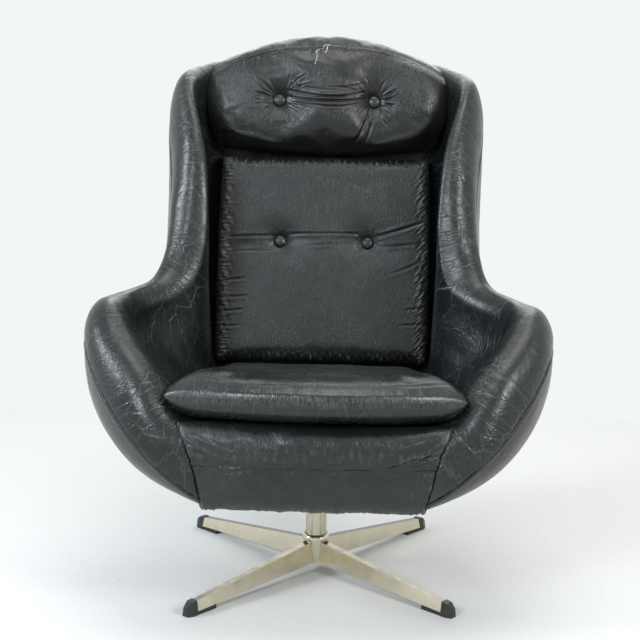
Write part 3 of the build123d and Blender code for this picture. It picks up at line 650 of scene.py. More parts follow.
def make_outer_cover(material):
    """Outer skin of the tub with its thickness, from the bottom ring up to the seam."""
    count = 520
    azimuth, poles = tub_sections(count)
    outer = bezier(poles[:, 0:4], np.linspace(0, 1, 150) ** 0.9)
    inner = inset_curve(bezier(poles[:, 0:4], np.linspace(0, 1, 20)), COVER_THICKNESS)
    arc = section_arc(outer)
    points = recess_for_apron(swept(azimuth, outer))
    normal = vertex_normals(points)
    away = arc[:, -1:] - arc
    pucker = wave_noise(points, 0.018, 5) * np.exp(-away / 0.012)
    drape = wave_noise(points, 0.16, 6)
    tuck = 0.0009 * bell(away, 0.0028) - 0.0008 * bell(away - 0.007, 0.003)
    points = points + normal * (0.0004 * pucker + 0.0006 * drape + tuck)[..., None]
    back = recess_for_apron(swept(azimuth, inner))[:, ::-1]
    uvs = np.concatenate([edge_map(points, points[:, -1]), np.zeros(back.shape[:2] + (2,))], 1)
    make_sweep("tub_cover", points, back, uvs, material, "leatherette", "outer_cover")


def make_tub_shell(material):
    """Moulded shell on the cover's own sections, so that it stays between cover and padding."""
    azimuth, poles = tub_sections(260)
    skin = bezier(poles[:, 0:4], np.linspace(0, 0.985, 60))
    outer, inner = (
        recess_for_apron(swept(azimuth, inset_curve(skin, depth)), behind=0.004)
        for depth in (SHELL_DEPTH, SHELL_DEPTH + SHELL_THICKNESS)
    )
    inner = inner[:, ::-1]
    uvs = np.concatenate([outer, inner], 1)[..., :2]
    make_sweep("tub_shell_form", outer, inner, uvs, material, "shell_plastic", "tub_shell")


def make_tub_lining(material):
    """Rolled edge, inner faces and deck of the tub as one closed padded form."""
    count = 620
    azimuth, poles = tub_sections(count)
    roll_share = np.linspace(0, 1, 56)
    inner_share = np.linspace(0, 1, 70)[1:]
    roll = bezier(poles[:, 4:8], roll_share)
    inner = bezier(poles[:, 8:12], inner_share)
    shown = np.concatenate([roll, inner], 1)
    hole_z = DECK_AXIS_HEIGHT - 0.001 - TUB_HOLE * np.cos(azimuth) * tan(DECK_SLOPE)
    hole = np.stack([np.full(count, TUB_HOLE), hole_z], 1)[:, None]
    deck = inner[:, -1:] + (hole - inner[:, -1:]) * np.linspace(0, 1, 16)[1:, None]
    hidden = inset_curve(bezier(poles[:, 0:4], np.linspace(0.02, 1, 14)), LINING_DEPTH)
    arc = section_arc(shown)
    points = swept(azimuth, shown)
    normal = vertex_normals(points)
    uv_shown = edge_map(points, points[:, roll_share.size // 2])
    share = arc / arc[:, roll_share.size - 1][:, None]
    turn = np.abs(np.degrees(azimuth))[:, None]
    trough = bell(share - 0.52, 0.20) * smooth_step(40, 60, turn)
    wing = smooth_step(45, 58, turn) * (1 - smooth_step(80, 92, turn))
    valley = bell(share - 0.60, 0.11) * wing
    pucker = wave_noise(points, 0.016, 11) * np.exp(-arc / 0.010)
    drape = wave_noise(points, 0.13, 12)
    lip = 0.0011 * bell(arc, 0.0035)
    relief = 0.0005 * pucker + 0.0008 * drape - 0.0034 * trough - 0.0026 * valley + lip
    points = recess_for_apron(points + normal * relief[..., None])
    back = recess_for_apron(swept(azimuth, np.concatenate([deck, hidden], 1)))
    uvs = np.concatenate([uv_shown, back[..., :2]], 1)
    calm = smooth_step(0.075, 0.150, uv_shown[..., 1])
    calm = np.concatenate([calm, np.zeros(back.shape[:2])], 1)
    piece = make_sweep("tub_lining", points, back, uvs, material, "leatherette", "tub_padding",
                       calm=calm)


def make_deck_cover(material):
    """Cover cloth over the deck's middle and the rail, its edges tucked into the deck beside it."""
    a, b = pillow_grid(90)
    y = -APRON_BACK + (APRON_BACK + TUB_HOLE) * (b + 1) / 2
    mouth = np.maximum(-y, 0) * tan(MOUTH_HALF_ANGLE)
    middle = np.sqrt(np.maximum(TUB_HOLE**2 - y**2, 0))
    x = a * (np.maximum(mouth, middle) + 0.002)
    crown = edge_profile(a, 12, 2) * edge_profile(b, 12, 2)
    edge_z = DECK_AXIS_HEIGHT - 0.0016 - y * tan(DECK_SLOPE)
    top = np.stack([x, y, edge_z + 0.0013 * crown], 2)
    low = np.stack([x, y, edge_z - 0.0003 * crown], 2)
    points, faces, _ = closed_pillow(top, low)
    piece = make_piece("deck_cover_soft", points, faces, points[:, :2], material,
                       "seat", "leatherette", "deck_cover")


# The front apron


def make_apron(material):
    """Apron panel with its padded upper roll, gathered crease, ears and turned-under edges."""
    columns, rows = 420, 200
    across = np.sin(np.linspace(-pi / 2, pi / 2, columns) * 0.98) / sin(pi / 2 * 0.98)
    front = APRON_BACK + APRON_DEPTH
    profile = [
        (APRON_BACK - 0.006, APRON_TOP + 0.0042),
        (APRON_BACK + 0.004, APRON_TOP + 0.0046),
        (front - 0.020, APRON_TOP - 0.001),
        (front - 0.006, APRON_TOP - 0.014),
        (front, APRON_TOP - 0.032),
        (front - 0.002, APRON_CREASE + 0.012),
        (front - 0.0075, APRON_CREASE),
        (front - 0.0055, APRON_CREASE - 0.012),
        (front - 0.0045, APRON_BOTTOM + 0.040),
        (front - 0.008, APRON_BOTTOM + 0.018),
        (front - 0.020, APRON_BOTTOM + 0.001),
        (front - 0.034, APRON_BOTTOM - 0.005),
        (APRON_BACK, APRON_BOTTOM - 0.006),
    ]
    knots = np.linspace(0, 1, len(profile))
    curve = natural_spline(knots, profile, np.linspace(0, 1, rows))
    depth, height = curve[:, 0][:, None], curve[:, 1][:, None]
    ear = 0.006 * smooth_step(APRON_TOP - 0.040, APRON_TOP - 0.004, height)
    half = apron_half(height) + 0.003 + ear
    x = across[None, :] * half
    edge = half - np.abs(x)
    fall = APRON_PLAN_SAG * (x / APRON_TOP_HALF) ** 2
    sunk = 0.014 * (1 - smooth_step(0, 0.008, edge)) ** 2
    y = -(depth - (fall + sunk) * np.clip((depth - APRON_BACK) / APRON_DEPTH, 0, 1))
    z = height + 0 * x
    points = np.stack([x, y, z], 2)
    normal = -vertex_normals(points)
    face = smooth_step(0.335, 0.350, -y)
    wave = 0.0035 * wave_noise(pair(x, 0 * x), 0.11, 23, 2)
    below = z - APRON_CREASE - wave
    gather = wave_noise(pair(x, z * 0.3 + 0.3 * np.abs(x)), 0.012, 21)
    broad = wave_noise(pair(x, z * 0.5), 0.030, 24)
    near_crease = np.exp(-((np.abs(below - 0.006) / 0.013) ** 2)) * face
    near_bottom = bell(z - APRON_BOTTOM, 0.010)
    near_side = bell(edge - 0.010, 0.008)
    groove = bell(below, 0.0028) * face
    hem = bell(edge - 0.0065, 0.0016) * face
    folds = in_mm([
        (-205, 350, -165, 320, 2, 2.4, 2.2), (-200, 338, -140, 316, 3, 2.4, 1.8),
        (-190, 355, -120, 330, -3, 2.6, 1.2), (206, 352, 160, 318, -2, 2.4, 2.4),
        (204, 338, 120, 314, -3, 2.6, 2), (200, 328, 150, 310, -2, 2.2, 1.8),
        (185, 356, 110, 340, 3, 2.6, 1.2),
    ])
    relief = 0.0014 * wave_noise(pair(x, z), 0.09, 22) + fold_relief(x, z, folds) * face
    relief += gather * (0.0009 * near_crease + 0.0012 * near_bottom + 0.0005 * near_side)
    relief += broad * 0.0010 * near_crease - 0.0022 * groove + 0.0010 * hem
    points = points + normal * relief[..., None]
    uvs = pair(x, section_arc(points.transpose(1, 0, 2)).T)
    rub = 0.8 * bell(edge - 0.0065, 0.0014) * face + 0.25 * near_bottom
    rub += 0.9 * bell(edge, 0.012) * smooth_step(0.346, 0.358, z) * face
    roll = smooth_step(0.311, 0.322, z) * (1 - smooth_step(0.334, 0.352, z)) * face
    rub += 0.5 * roll * smooth_step(0.1, 0.8, wave_noise(pair(x * 3, z), 0.035, 25))
    rear = points.copy()
    rear[..., 1] = -APRON_BACK + 0.005
    ring = np.concatenate([points, rear[::-1]], 0)
    ring_uv = np.concatenate([uvs, uvs[::-1]], 0)
    faces = grid_quads(*ring.shape[:2])
    piece = make_piece("apron_panel", ring.reshape(-1, 3), faces, ring_uv.reshape(-1, 2), material,
                       "seat", "leatherette", "front_apron", rub=np.concatenate([rub, 0 * rub]))


# Cushions


def pillow_grid(count):
    """Two square coordinates from -1 to 1 that crowd towards the edges."""
    line = np.sin(np.linspace(-pi / 2, pi / 2, count))
    return np.meshgrid(line, line, indexing="xy")


def closed_pillow(front, rear):
    """Points and faces of two equal grids that share their rim."""
    rows, columns = front.shape[:2]
    size = rows * columns
    faces = grid_quads(rows, columns)
    index = np.arange(size).reshape(rows, columns) + size
    rim = np.zeros((rows, columns), bool)
    rim[0] = rim[-1] = True
    rim[:, 0] = rim[:, -1] = True
    index[rim] -= size
    corners = (index[:-1, :-1], index[1:, :-1], index[1:, 1:], index[:-1, 1:])
    faces += [tuple(q) for q in np.stack([c.ravel() for c in corners], 1)]
    points = np.concatenate([front.reshape(-1, 3), rear.reshape(-1, 3)])
    used = np.ones(2 * size, bool)
    used[size:][rim.ravel()] = False
    renumber = np.cumsum(used) - 1
    faces = [tuple(renumber[list(f)]) for f in faces]
    return points[used], faces, used


def make_pillow(name, plane, front, rear, flat, rub, rear_rub, material, body, node):
    """A closed pillow, laid in its plane, with its flat shape as its UV map."""
    points, faces, used = closed_pillow(front, rear)
    flat = flat.reshape(-1, 2)
    uv = np.concatenate([flat, flat + (1.0, 0)])[used]
    rub = np.concatenate([rub.ravel(), rear_rub.ravel()])[used]
    return make_piece(name, placed(points, plane), faces, uv, material, body, "leatherette", node,
                      rub=rub)


def settled(front, rear, held, pressure, spare, most):
    """How cloth under pressure moves the front grid of a pillow whose held points stay.

    The spare share makes the cloth larger than its shape, so that it wrinkles; most caps a move.
    """
    points, faces, used = closed_pillow(front, rear)
    weights = np.concatenate([held.ravel(), np.ones(rear.shape[0] * rear.shape[1])])[used]
    mesh = bpy.data.meshes.new("settling")
    mesh.from_pydata([tuple(p) for p in points], [], [tuple(int(k) for k in f) for f in faces])
    pillow = bpy.data.objects.new("settling", mesh)
    bpy.context.scene.collection.objects.link(pillow)
    group = pillow.vertex_groups.new(name="held")
    for weight in np.unique(np.round(weights, 1)):
        spots = np.flatnonzero(np.round(weights, 1) == weight)
        if weight > 0:
            group.add([int(k) for k in spots], float(weight), "REPLACE")
    cloth = pillow.modifiers.new("cloth", "CLOTH")
    cloth.point_cache.frame_start = 1
    cloth.point_cache.frame_end = CLOTH_FRAMES
    for key, value in CLOTH_SETTINGS.items():
        setattr(cloth.settings, key, value)
    cloth.settings.uniform_pressure_force = pressure
    cloth.settings.shrink_min = -spare
    cloth.settings.effector_weights.gravity = 0
    scene = bpy.context.scene
    for step in range(1, CLOTH_FRAMES + 1):
        scene.frame_set(step)
    result = pillow.evaluated_get(bpy.context.evaluated_depsgraph_get()).data
    moved = np.zeros(len(result.vertices) * 3)
    result.vertices.foreach_get("co", moved)
    moved = moved.reshape(-1, 3) - points
    length = np.linalg.norm(moved, axis=1, keepdims=True)
    moved *= np.tanh(length / most) * most / np.maximum(length, 1e-9)
    scene.frame_set(1)
    bpy.data.objects.remove(pillow)
    return moved[: front.shape[0] * front.shape[1]].reshape(front.shape)


def finer(grid, count):
    """A square grid of vectors, interpolated to a finer one of the same spread."""
    for _ in range(2):
        rows, columns, width = grid.shape
        coarse = np.sin(np.linspace(-pi / 2, pi / 2, rows))
        dense = np.sin(np.linspace(-pi / 2, pi / 2, count))
        grid = natural_spline(coarse, grid.reshape(rows, -1), dense)
        grid = grid.reshape(count, columns, width).transpose(1, 0, 2)
    return grid


def softened(grid, passes):
    """A grid of vectors averaged with its neighbours, with its rim as it is."""
    for _ in range(passes):
        inner = grid[1:-1, 1:-1]
        around = grid[:-2, 1:-1] + grid[2:, 1:-1] + grid[1:-1, :-2] + grid[1:-1, 2:]
        grid = grid.copy()
        grid[1:-1, 1:-1] = 0.5 * inner + 0.125 * around
    return grid


def cloth_moves(count, shape, held, pressure, spare, most):
    """Moves of a pillow's front by simulated cloth."""
    a, b = pillow_grid(CLOTH_GRID)
    front, rear = shape(a, b)[:2]
    moves = settled(front, rear, held(front, a, b), pressure, spare, most)
    return finer(softened(moves, CLOTH_SOFTENING), count)


def near_buttons(points, half_spacing, height, reach):
    """1 at each button, falling to 0 at the reach."""
    share = np.zeros(points.shape[:2])
    for side in (-1, 1):
        away = np.hypot(points[..., 0] - side * half_spacing, points[..., 1] - height)
        share = np.maximum(share, 1 - smooth_step(reach / 2, reach, away))
    return share


def rim_share(a, b, band):
    """1 at the rim of a pillow, falling to 0 at the band's inner side."""
    return 1 - smooth_step(0, band, 1 - np.maximum(np.abs(a), np.abs(b)))


def edge_profile(a, power, root):
    return (1 - np.abs(a) ** power) ** (1 / root)


def leaning_frame(rise, standoff):
    """Matrix from the leaning back plane (right, up the back, towards the sitter) to the row."""
    up = Vector((0, sin(BACK_LEAN), cos(BACK_LEAN)))
    out = Vector((0, -cos(BACK_LEAN), sin(BACK_LEAN)))
    start = Vector((0, BACK_REAR, BACK_BOTTOM)) + up * rise + out * standoff
    matrix = np.array([(1, 0, 0), tuple(up), tuple(out)]).T
    return matrix, np.array(start)


def placed(points, plane):
    matrix, start = plane
    return points @ matrix.T + start


def deck_frame():
    back = Vector((0, cos(DECK_SLOPE), -sin(DECK_SLOPE)))
    up = Vector((0, sin(DECK_SLOPE), cos(DECK_SLOPE)))
    matrix = np.array([(1, 0, 0), tuple(back), tuple(up)]).T
    return matrix, np.array((0, 0, DECK_AXIS_HEIGHT))


def seat_cushion_shape(a, b):
    """Upper and lower faces of the knife-edged seat cushion: bowed front, blunt tips."""
    corner = 0.03 + 0.10 * smooth_step(-0.2, 1, b)
    a_round = a * np.sqrt(1 - corner * b**4)
    b_round = b * np.sqrt(1 - 0.07 * a**4)
    back_share = (b_round + 1) / 2
    half = slide(back_share, CUSHION_FRONT_HALF, CUSHION_REAR_HALF)
    x = a_round * half
    bow = CUSHION_TIP_SETBACK * (x / CUSHION_FRONT_HALF) ** 2 * (1 - back_share)
    y = -CUSHION_FRONT + CUSHION_LENGTH * back_share + bow
    crown = edge_profile(a, 11.0, 2.0) * edge_profile(b, 7.0, 2.1)
    thick = CUSHION_THICKNESS / 2
    top = np.stack([x, y, thick + thick * crown], 2)
    low = np.stack([x, y, thick - thick * crown**0.9], 2)
    return top, low, crown


def make_seat_cushion(material):
    """Loose cushion: knife-edge seam all round, crowned, gathered along the seam."""
    count = 330
    a, b = pillow_grid(count)
    top, low, crown = seat_cushion_shape(a, b)
    top = top + cloth_moves(
        count, seat_cushion_shape, lambda points, a, b: rim_share(a, b, 0.02), 3.0, 0.010, 0.0028
    )
    x, y = top[..., 0], top[..., 1]
    flat = pair(x, y)
    rim = rim_share(a, b, 0.05)
    gather = wave_noise(flat * (1.0, 0.4), 0.012, 32) * rim * crown
    folds = in_mm([
        (-215, -330, -150, -352, 3, 2.6, 1.4), (-120, -372, -20, -378, 2, 2.4, 0.9),
        (130, -362, 215, -325, -3, 2.6, 1.2), (175, -300, 225, -270, 2, 2.6, 1),
    ])
    top[..., 2] += 0.0012 * gather + 0.0012 * wave_noise(flat, 0.15, 31) * crown
    top[..., 2] += fold_relief(x, y, folds) * crown
    low[..., 2] += 0.0010 * gather
    seam = 0.15 * rim_share(a, b, 0.03) + 0.45 * rim_share(a, b, 0.004)
    piece = make_pillow("seat_cushion_soft", deck_frame(), top, low, flat, seam,
                        0.4 * rim_share(a, b, 0.01), material, "seat_cushion", "seat_cushion")


def back_cushion_shape(a, b):
    """Front and rear faces of the boxed back cushion, with its two shallow tufts."""
    a_round = a * np.sqrt(1 - 0.04 * b**2)
    b_round = b * np.sqrt(1 - 0.03 * a**2)
    up_share = (b_round + 1) / 2
    half = slide(up_share, BACK_BOTTOM_HALF, BACK_TOP_HALF)
    x = a_round * half
    y = BACK_HEIGHT * up_share
    crown = edge_profile(a, 30, 3.0) * edge_profile(b, 26, 2.6)
    tufts = np.zeros_like(x)
    for side in (-1, 1):
        away = np.hypot(x - side * BACK_BUTTON_X, (y - BACK_BUTTON_Y) * 1.15)
        tufts += 0.017 * np.exp(-((away / 0.022) ** 1.3))
    front = np.stack([x, y, BACK_THICKNESS * (0.45 + 0.55 * crown) - tufts], 2)
    rear = np.stack([x, y, 0.45 * BACK_THICKNESS * (1 - crown**0.8)], 2)
    return front, rear, crown


def make_back_cushion(material):
    """Boxed back cushion: flat face, crinkled borders, two shallow tufts and long folds."""
    count = 380
    a, b = pillow_grid(count)
    front, rear, crown = back_cushion_shape(a, b)
    x, y = front[..., 0].copy(), front[..., 1].copy()
    front += cloth_moves(
        count, back_cushion_shape,
        lambda points, a, b: np.maximum(
            rim_share(a, b, 0.015), near_buttons(points, BACK_BUTTON_X, BACK_BUTTON_Y, 0.036)
        ),
        2.0, 0.008, 0.0020,
    )
    flat = pair(x, y)
    folds = in_mm([
        (-212, 244, -100, 251, 1, 2.4, 2.4), (-72, 255, 72, 258, 1, 2.2, 2),
        (98, 252, 206, 288, -2, 2.8, 3.8), (-212, 214, -102, 222, 1, 2.2, 1.5),
        (104, 234, 190, 242, -2, 2.4, 1.4), (-212, 158, -150, 166, 0, 2.4, 2.6),
        (-212, 126, -146, 131, 0, 2.2, 2.2), (-212, 98, -152, 105, 0, 2.4, 2.4),
        (-212, 70, -160, 73, 0, 2.2, 1.8), (130, 180, 206, 214, -3, 2.6, 1.8),
        (160, 110, 211, 117, 0, 2.4, 2.2), (150, 80, 211, 84, 0, 2.2, 1.6),
        (-50, 232, 60, 238, 1, 2, 0.7),
    ])
    for side, seed in ((-1, 41), (1, 42)):
        centre = (side * BACK_BUTTON_X, BACK_BUTTON_Y)
        turns = [20, 60, 100, 140, 200, 235, 280, 320]
        folds += radial_folds(centre, turns, 0.014, 0.032, 0.0020, 0.0010, seed)
    half = slide(y / BACK_HEIGHT, BACK_BOTTOM_HALF, BACK_TOP_HALF)
    sides = half - np.abs(x)
    ends = np.minimum(y, BACK_HEIGHT - y)
    slanted = pair(x + np.sign(x) * 0.45 * y, (y - np.sign(x) * 0.45 * x) * 2.2)
    crinkle = wave_noise(slanted, 0.022, 43) * bell(sides - 0.016, 0.014)
    pleats = wave_noise(pair(x * 2.6, y + 0.3 * x), 0.022, 45)
    pleats = pleats * bell(ends - 0.012, 0.012)
    welt = 0.0016 * bell(sides - 0.014, 0.009)
    relief = 0.6 * fold_relief(x, y, folds) + 0.0020 * crinkle + 0.0011 * pleats + welt
    front[..., 2] += relief * crown**0.5
    # Pale streaks: wear on the pleat and crinkle crests, and on the side bands a painted highlight,
    # stronger on the left
    band = bell(sides - 0.014, 0.014)
    streaks = 1.1 * smooth_step(0.25, 0.9, pleats) + 1.1 * smooth_step(0.2, 0.9, crinkle)
    streaks += np.where(x < 0, 1.3, 0.6) * band
    piece = make_pillow("back_cushion_soft", leaning_frame(0, 0.0003), front, rear, flat, streaks,
                        0 * streaks, material, "seat", "back_cushion")


def head_cushion_shape(a, b):
    """Front and rear faces of the plump head cushion, with its two deep tufts."""
    corner = 0.16
    a_round = a * np.sqrt(1 - corner * b**2)
    b_round = b * np.sqrt(1 - corner * a**2)
    up_share = (b_round + 1) / 2
    half = HEAD_BOTTOM_HALF + (HEAD_HALF - HEAD_BOTTOM_HALF) * np.sin(pi * up_share * 0.62)
    x = a_round * half * 1.07
    top = slide((x / HEAD_HALF) ** 2, HEAD_HEIGHT, HEAD_SHOULDER)
    low = -HEAD_SAG * (1 - (x / HEAD_BOTTOM_HALF) ** 2)
    y = low + (top - low) * up_share
    crown = edge_profile(a, 3.8, 2.3) * edge_profile(b, 3.0, 2.1)
    tufts = np.zeros_like(x)
    for side in (-1, 1):
        away = np.hypot(x - side * HEAD_BUTTON_X, y - HEAD_BUTTON_Y)
        tufts += 0.036 * np.exp(-((away / 0.031) ** 1.25))
    front = np.stack([x, y, HEAD_THICKNESS * (0.40 + 0.60 * crown) - tufts * crown], 2)
    rear = np.stack([x, y, 0.40 * HEAD_THICKNESS * (1 - crown**0.8)], 2)
    return front, rear, crown


def make_head_cushion(material):
    """Plump head cushion with the folds between and around its deep tufts and a top seam."""
    count = 400
    a, b = pillow_grid(count)
    front, rear, crown = head_cushion_shape(a, b)
    x, y = front[..., 0].copy(), front[..., 1].copy()
    front += cloth_moves(
        count, head_cushion_shape,
        lambda points, a, b: np.maximum(
            rim_share(a, b, 0.02), near_buttons(points, HEAD_BUTTON_X, HEAD_BUTTON_Y, 0.050)
        ),
        3.0, 0.014, 0.0030,
    )
    flat = pair(x, y)
    folds = in_mm([
        (-72, 30, 40, 20, -7, 1.9, 1.3), (-20, 24, 70, 32, -6, 1.9, 1.2),
        (-74, 18, 60, 8, -8, 1.9, 1.7), (-40, 6, 74, 17, -7, 1.8, 1.8),
        (-74, 6, 74, 4, -10, 1.9, 2.2), (-70, -5, 30, -14, -4, 1.8, 1.2),
        (-10, -15, 70, -5, -4, 1.8, 1.2), (-74, 18, -20, 30, 2, 1.6, 1),
        (-70, 26, -40, 46, 2, 1.6, 1), (12, 24, 70, 14, 2, 1.6, 0.9),
        (84, -18, 52, -86, 4, 2.6, 2.6), (92, -22, 74, -84, 3, 2.4, 2),
        (-98, -20, -112, -66, -3, 2.4, 0.7),
    ])
    for side, seed in ((-1, 51), (1, 52)):
        centre = (side * HEAD_BUTTON_X, 0)
        outward = 0 if side > 0 else 180
        turns = [outward + k for k in (-62, -46, -32, -20, -9, 3, 15, 28, 42, 58)]
        folds += radial_folds(centre, turns, 0.018, 0.056, 0.0017, 0.0017, seed)
        inward = 180 - outward
        turns = [inward + k for k in (-70, -50, -34, 34, 48, 66)]
        folds += radial_folds(centre, turns, 0.018, 0.044, 0.0017, 0.0013, seed + 10)
    top = slide((x / HEAD_HALF) ** 2, HEAD_HEIGHT, HEAD_SHOULDER)
    above = y - (top - HEAD_SEAM_DROP)
    seam = bell(above, 0.0016) - 0.8 * bell(above + 0.0042, 0.0022)
    pleats = wave_noise(pair(x * 2.6, y), 0.022, 54) * bell(above, 0.016)
    relief = fold_relief(x, y - HEAD_BUTTON_Y, folds) + 0.0012 * wave_noise(flat, 0.09, 53)
    front[..., 2] += relief * crown + (0.0014 * seam + 0.0009 * pleats) * crown**0.4
    right = smooth_step(0.10, 0.17, x)
    streaks = smooth_step(0.25, 0.9, np.abs(wave_noise(pair(x * 3, y), 0.04, 55)))
    rub = 0.60 * streaks * smooth_step(-0.004, 0.006, above)
    rub += 3.6 * right * bell(above + 0.002, 0.0065)
    piece = make_pillow("head_cushion_soft", leaning_frame(HEAD_BOTTOM, HEAD_STANDOFF), front,
                        rear, flat, rub, 0 * rub, material, "seat", "head_cushion")


def make_button(name, node, x, rise, out, material):
    """Leather-covered button: a dome with a tucked rim and faint radial tucks."""
    rings, spokes = 24, 64
    share = np.linspace(0, 1, rings)
    turn = np.linspace(0, 2 * pi, spokes, endpoint=False)
    radius = BUTTON_RADIUS * np.sin(share * pi / 2) ** 0.9
    dome = 0.0085 * np.cos(share * pi / 2) ** 0.8
    radius = np.append(radius, BUTTON_RADIUS * 0.92)
    dome = np.append(dome, -0.004)
    tuck = 1 + 0.02 * np.sin(turn * 14)[None, :] * np.append(share, 1)[:, None] ** 3
    px = radius[:, None] * np.cos(turn)[None, :] * tuck
    py = radius[:, None] * np.sin(turn)[None, :] * tuck
    points = np.stack([px, py, dome[:, None] + 0 * px], 2)
    faces = grid_quads(rings + 1, spokes, wrap=True)
    faces.append(tuple(range(rings * spokes, (rings + 1) * spokes))[::-1])
    local = points.reshape(-1, 3) + (x, 0, 0)
    make_piece(name, placed(local, leaning_frame(rise, out)), faces, local[:, :2], material,
               "seat", "leatherette", node)


# Stage


def make_stage():
    """Pale floor that keeps the shadow, white surroundings and soft lamps."""
    nodes = Finish("floor")
    place = nodes.place("Object")
    fleck = nodes.noise(place, 110.0, 4.0, 0.75)
    colour = nodes.mix(nodes.ramp(fleck, 0.60, 0.70), (0.82, 0.825, 0.81, 1), (0.58, 0.59, 0.58, 1))
    nodes.set(Base_Color=colour, Roughness=0.75)
    middle = nodes.vector("LENGTH", place)
    glow = nodes.add("ShaderNodeEmission", Color=BACKGROUND).outputs[0]
    far = nodes.math("MULTIPLY", nodes.ramp(middle, *FLOOR_FADE), nodes.background_rays())
    blend = nodes.blend(far, nodes.shader.outputs["BSDF"], glow)
    nodes.link(blend, nodes.output.inputs["Surface"])
    mesh = bpy.data.meshes.new("floor")
    left, right, front = -FLOOR_REACH, FLOOR_REACH, -FLOOR_REACH
    corners = [(left, front, 0), (right, front, 0), (right, FLOOR_REAR, 0), (left, FLOOR_REAR, 0)]
    mesh.from_pydata(corners, [], [(0, 1, 2, 3)])
    mesh.materials.append(nodes.material)
    floor = bpy.data.objects.new("floor", mesh)
    bpy.context.scene.collection.objects.link(floor)

    world = bpy.data.worlds.new("studio")
    bpy.context.scene.world = world
    world.use_nodes = True
    nodes = Nodes(world.node_tree)
    soft, white = (
        nodes.add("ShaderNodeBackground", Color=colour, Strength=strength).outputs[0]
        for colour, strength in (((1, 1, 1, 1), WORLD_STRENGTH), (BACKGROUND, 1.0))
    )
    nodes.add("ShaderNodeOutputWorld", Surface=nodes.blend(nodes.background_rays(), soft, white))

    for name, place, size, power, tint in (
        ("lamp_top", (0.2, -0.4, 2.9), 1.4, 24, (1.0, 1.0, 0.98)),
        ("lamp_left", (-1.5, -2.7, 2.0), 0.8, 42, (0.86, 0.92, 1.0)),
        ("lamp_side", (-2.7, -0.8, 1.7), 0.7, 46, (0.84, 0.91, 1.0)),
        ("lamp_right", (2.1, -1.9, 1.9), 0.8, 42, (0.97, 1.0, 0.98)),
        ("lamp_back", (0.2, 2.3, 2.3), 2.0, 32, (0.97, 1.0, 0.99)),
    ):
        light = bpy.data.lights.new(name, "AREA")
        light.size = size
        light.energy = power
        light.color = tint
        lamp = bpy.data.objects.new(name, light)
        lamp.location = place
        lamp.visible_camera = False
        aim = LAMP_AIM - Vector(place)
        lamp.rotation_euler = aim.to_track_quat("-Z", "Y").to_euler()
        bpy.context.scene.collection.objects.link(lamp)


def make_camera():
    """The photograph's viewpoint."""
    camera = bpy.data.cameras.new("camera")
    camera.lens = LENS
    camera.sensor_width = 36
    seen = bpy.data.objects.new("camera", camera)
    level = cos(CAMERA_PITCH)
    ahead = Vector((-sin(CAMERA_YAW) * level, cos(CAMERA_YAW) * level, -sin(CAMERA_PITCH)))
    right = ahead.cross(Vector((0, 0, 1))).normalized()
    up = right.cross(ahead)
    roll, lean = cos(CAMERA_ROLL), sin(CAMERA_ROLL)
    turn = Matrix((right * roll + up * lean, up * roll - right * lean, -ahead))
    turn = turn.transposed().to_4x4()
    seen.matrix_world = Matrix.Translation(CAMERA_PLACE) @ turn
    bpy.context.scene.collection.objects.link(seen)
    bpy.context.scene.camera = seen


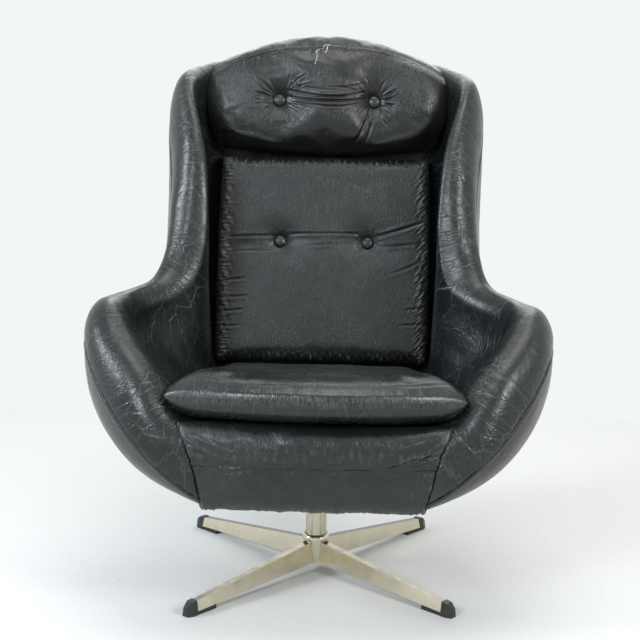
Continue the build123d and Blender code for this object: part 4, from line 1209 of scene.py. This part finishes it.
def dress_cad_nodes():
    """Materials of the CAD nodes that show as they are."""
    plated = plated_metal()
    plastic = grained("cap_plastic", (0.012, 0.012, 0.013), (0.024, 0.024, 0.026), 0.45, 90.0,
                      0.00005)
    steel = grained("turned_steel", (0.38, 0.38, 0.38), (0.55, 0.55, 0.54), 0.35, 60.0, 0.00003,
                    metallic=1.0)
    paint = grained("painted_steel", (0.014, 0.014, 0.015), (0.03, 0.03, 0.03), 0.4, 50.0, 0.00005)
    nylon = grained("nylon", (0.66, 0.65, 0.60), (0.74, 0.73, 0.69), 0.5, 60.0, 0.00004)
    ply = grained("plywood", (0.36, 0.24, 0.13), (0.55, 0.40, 0.24), 0.7, 14.0, 0.0002,
                  stretch=(1, 12, 1))
    foam = grained("foam", (0.62, 0.50, 0.26), (0.72, 0.62, 0.38), 0.9, 120.0, 0.0004)
    dressed = {
        plated: ["hub_tube", "column_tube", "column_collar"],
        steel: ["spindle", "retaining_washer", "retaining_screw", "plate_bolts"],
        paint: ["seat_plate"],
        nylon: ["lower_bush", "upper_bush"],
        ply: ["mounting_block", "front_rail"],
        foam: ["centre_foam"],
        plastic: [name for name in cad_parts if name.startswith("foot_cap")],
    }
    dressed[plated] += [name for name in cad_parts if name.startswith("star_leg")]
    for material, names in dressed.items():
        for name in names:
            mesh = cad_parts[name].data
            mesh.materials.clear()
            mesh.materials.append(material)


bpy.context.scene.view_settings.view_transform = "Standard"
make_stage()
make_camera()
dress_cad_nodes()
make_outer_cover(
    leatherette("cover_leather", 36.0, 32.0, relief=1.2, wear=0.45, regular=True, deep_from=0.9,
                dusty=0.65)
)
make_tub_shell(grained("shell_plastic", (0.20, 0.19, 0.18), (0.30, 0.29, 0.27), 0.6, 30.0, 0.0002))
make_tub_lining(leatherette("lining_leather", 46.0, 15.0, relief=0.9, wear=0.4, dusty=0.7))
make_deck_cover(leatherette("deck_leather", 20.0, 16.0, relief=0.4))
make_apron(
    leatherette("apron_leather", 26.0, 14.0, relief=0.4, wear=0.35, deep_from=0.0, rough=0.32,
                dusty=0.1)
)
make_seat_cushion(
    leatherette("seat_leather", 34.0, 22.0, relief=0.35, wear=0.5, deep_from=0.1, dusty=0.6)
)
make_back_cushion(
    leatherette("back_leather", 44.0, 24.0, relief=0.25, wear=0.6, crackle=1.8, deep_from=0.0,
                rough=0.38)
)
# The head cushion's leather is the same leather darkened to a depth of 0.6: painted shade
make_head_cushion(
    leatherette("head_leather", 40.0, 22.0, relief=0.2, wear=0.35, crackle=1.6, split=HEAD_SPLIT,
                deep_from=0.0, rough=0.34, depth=0.6)
)
button_leather = leatherette("button_leather", 60.0, 60.0, relief=0.2, wear=0.3)
for side, word in ((-1, "left"), (1, "right")):
    make_button(f"back_button_cover_{word}", f"back_button_{word}", side * BACK_BUTTON_X,
                BACK_BUTTON_Y, BACK_THICKNESS - 0.014, button_leather)
    make_button(f"head_button_cover_{word}", f"head_button_{word}", side * HEAD_BUTTON_X,
                HEAD_BOTTOM + HEAD_BUTTON_Y, HEAD_STANDOFF + HEAD_THICKNESS - 0.030,
                button_leather)
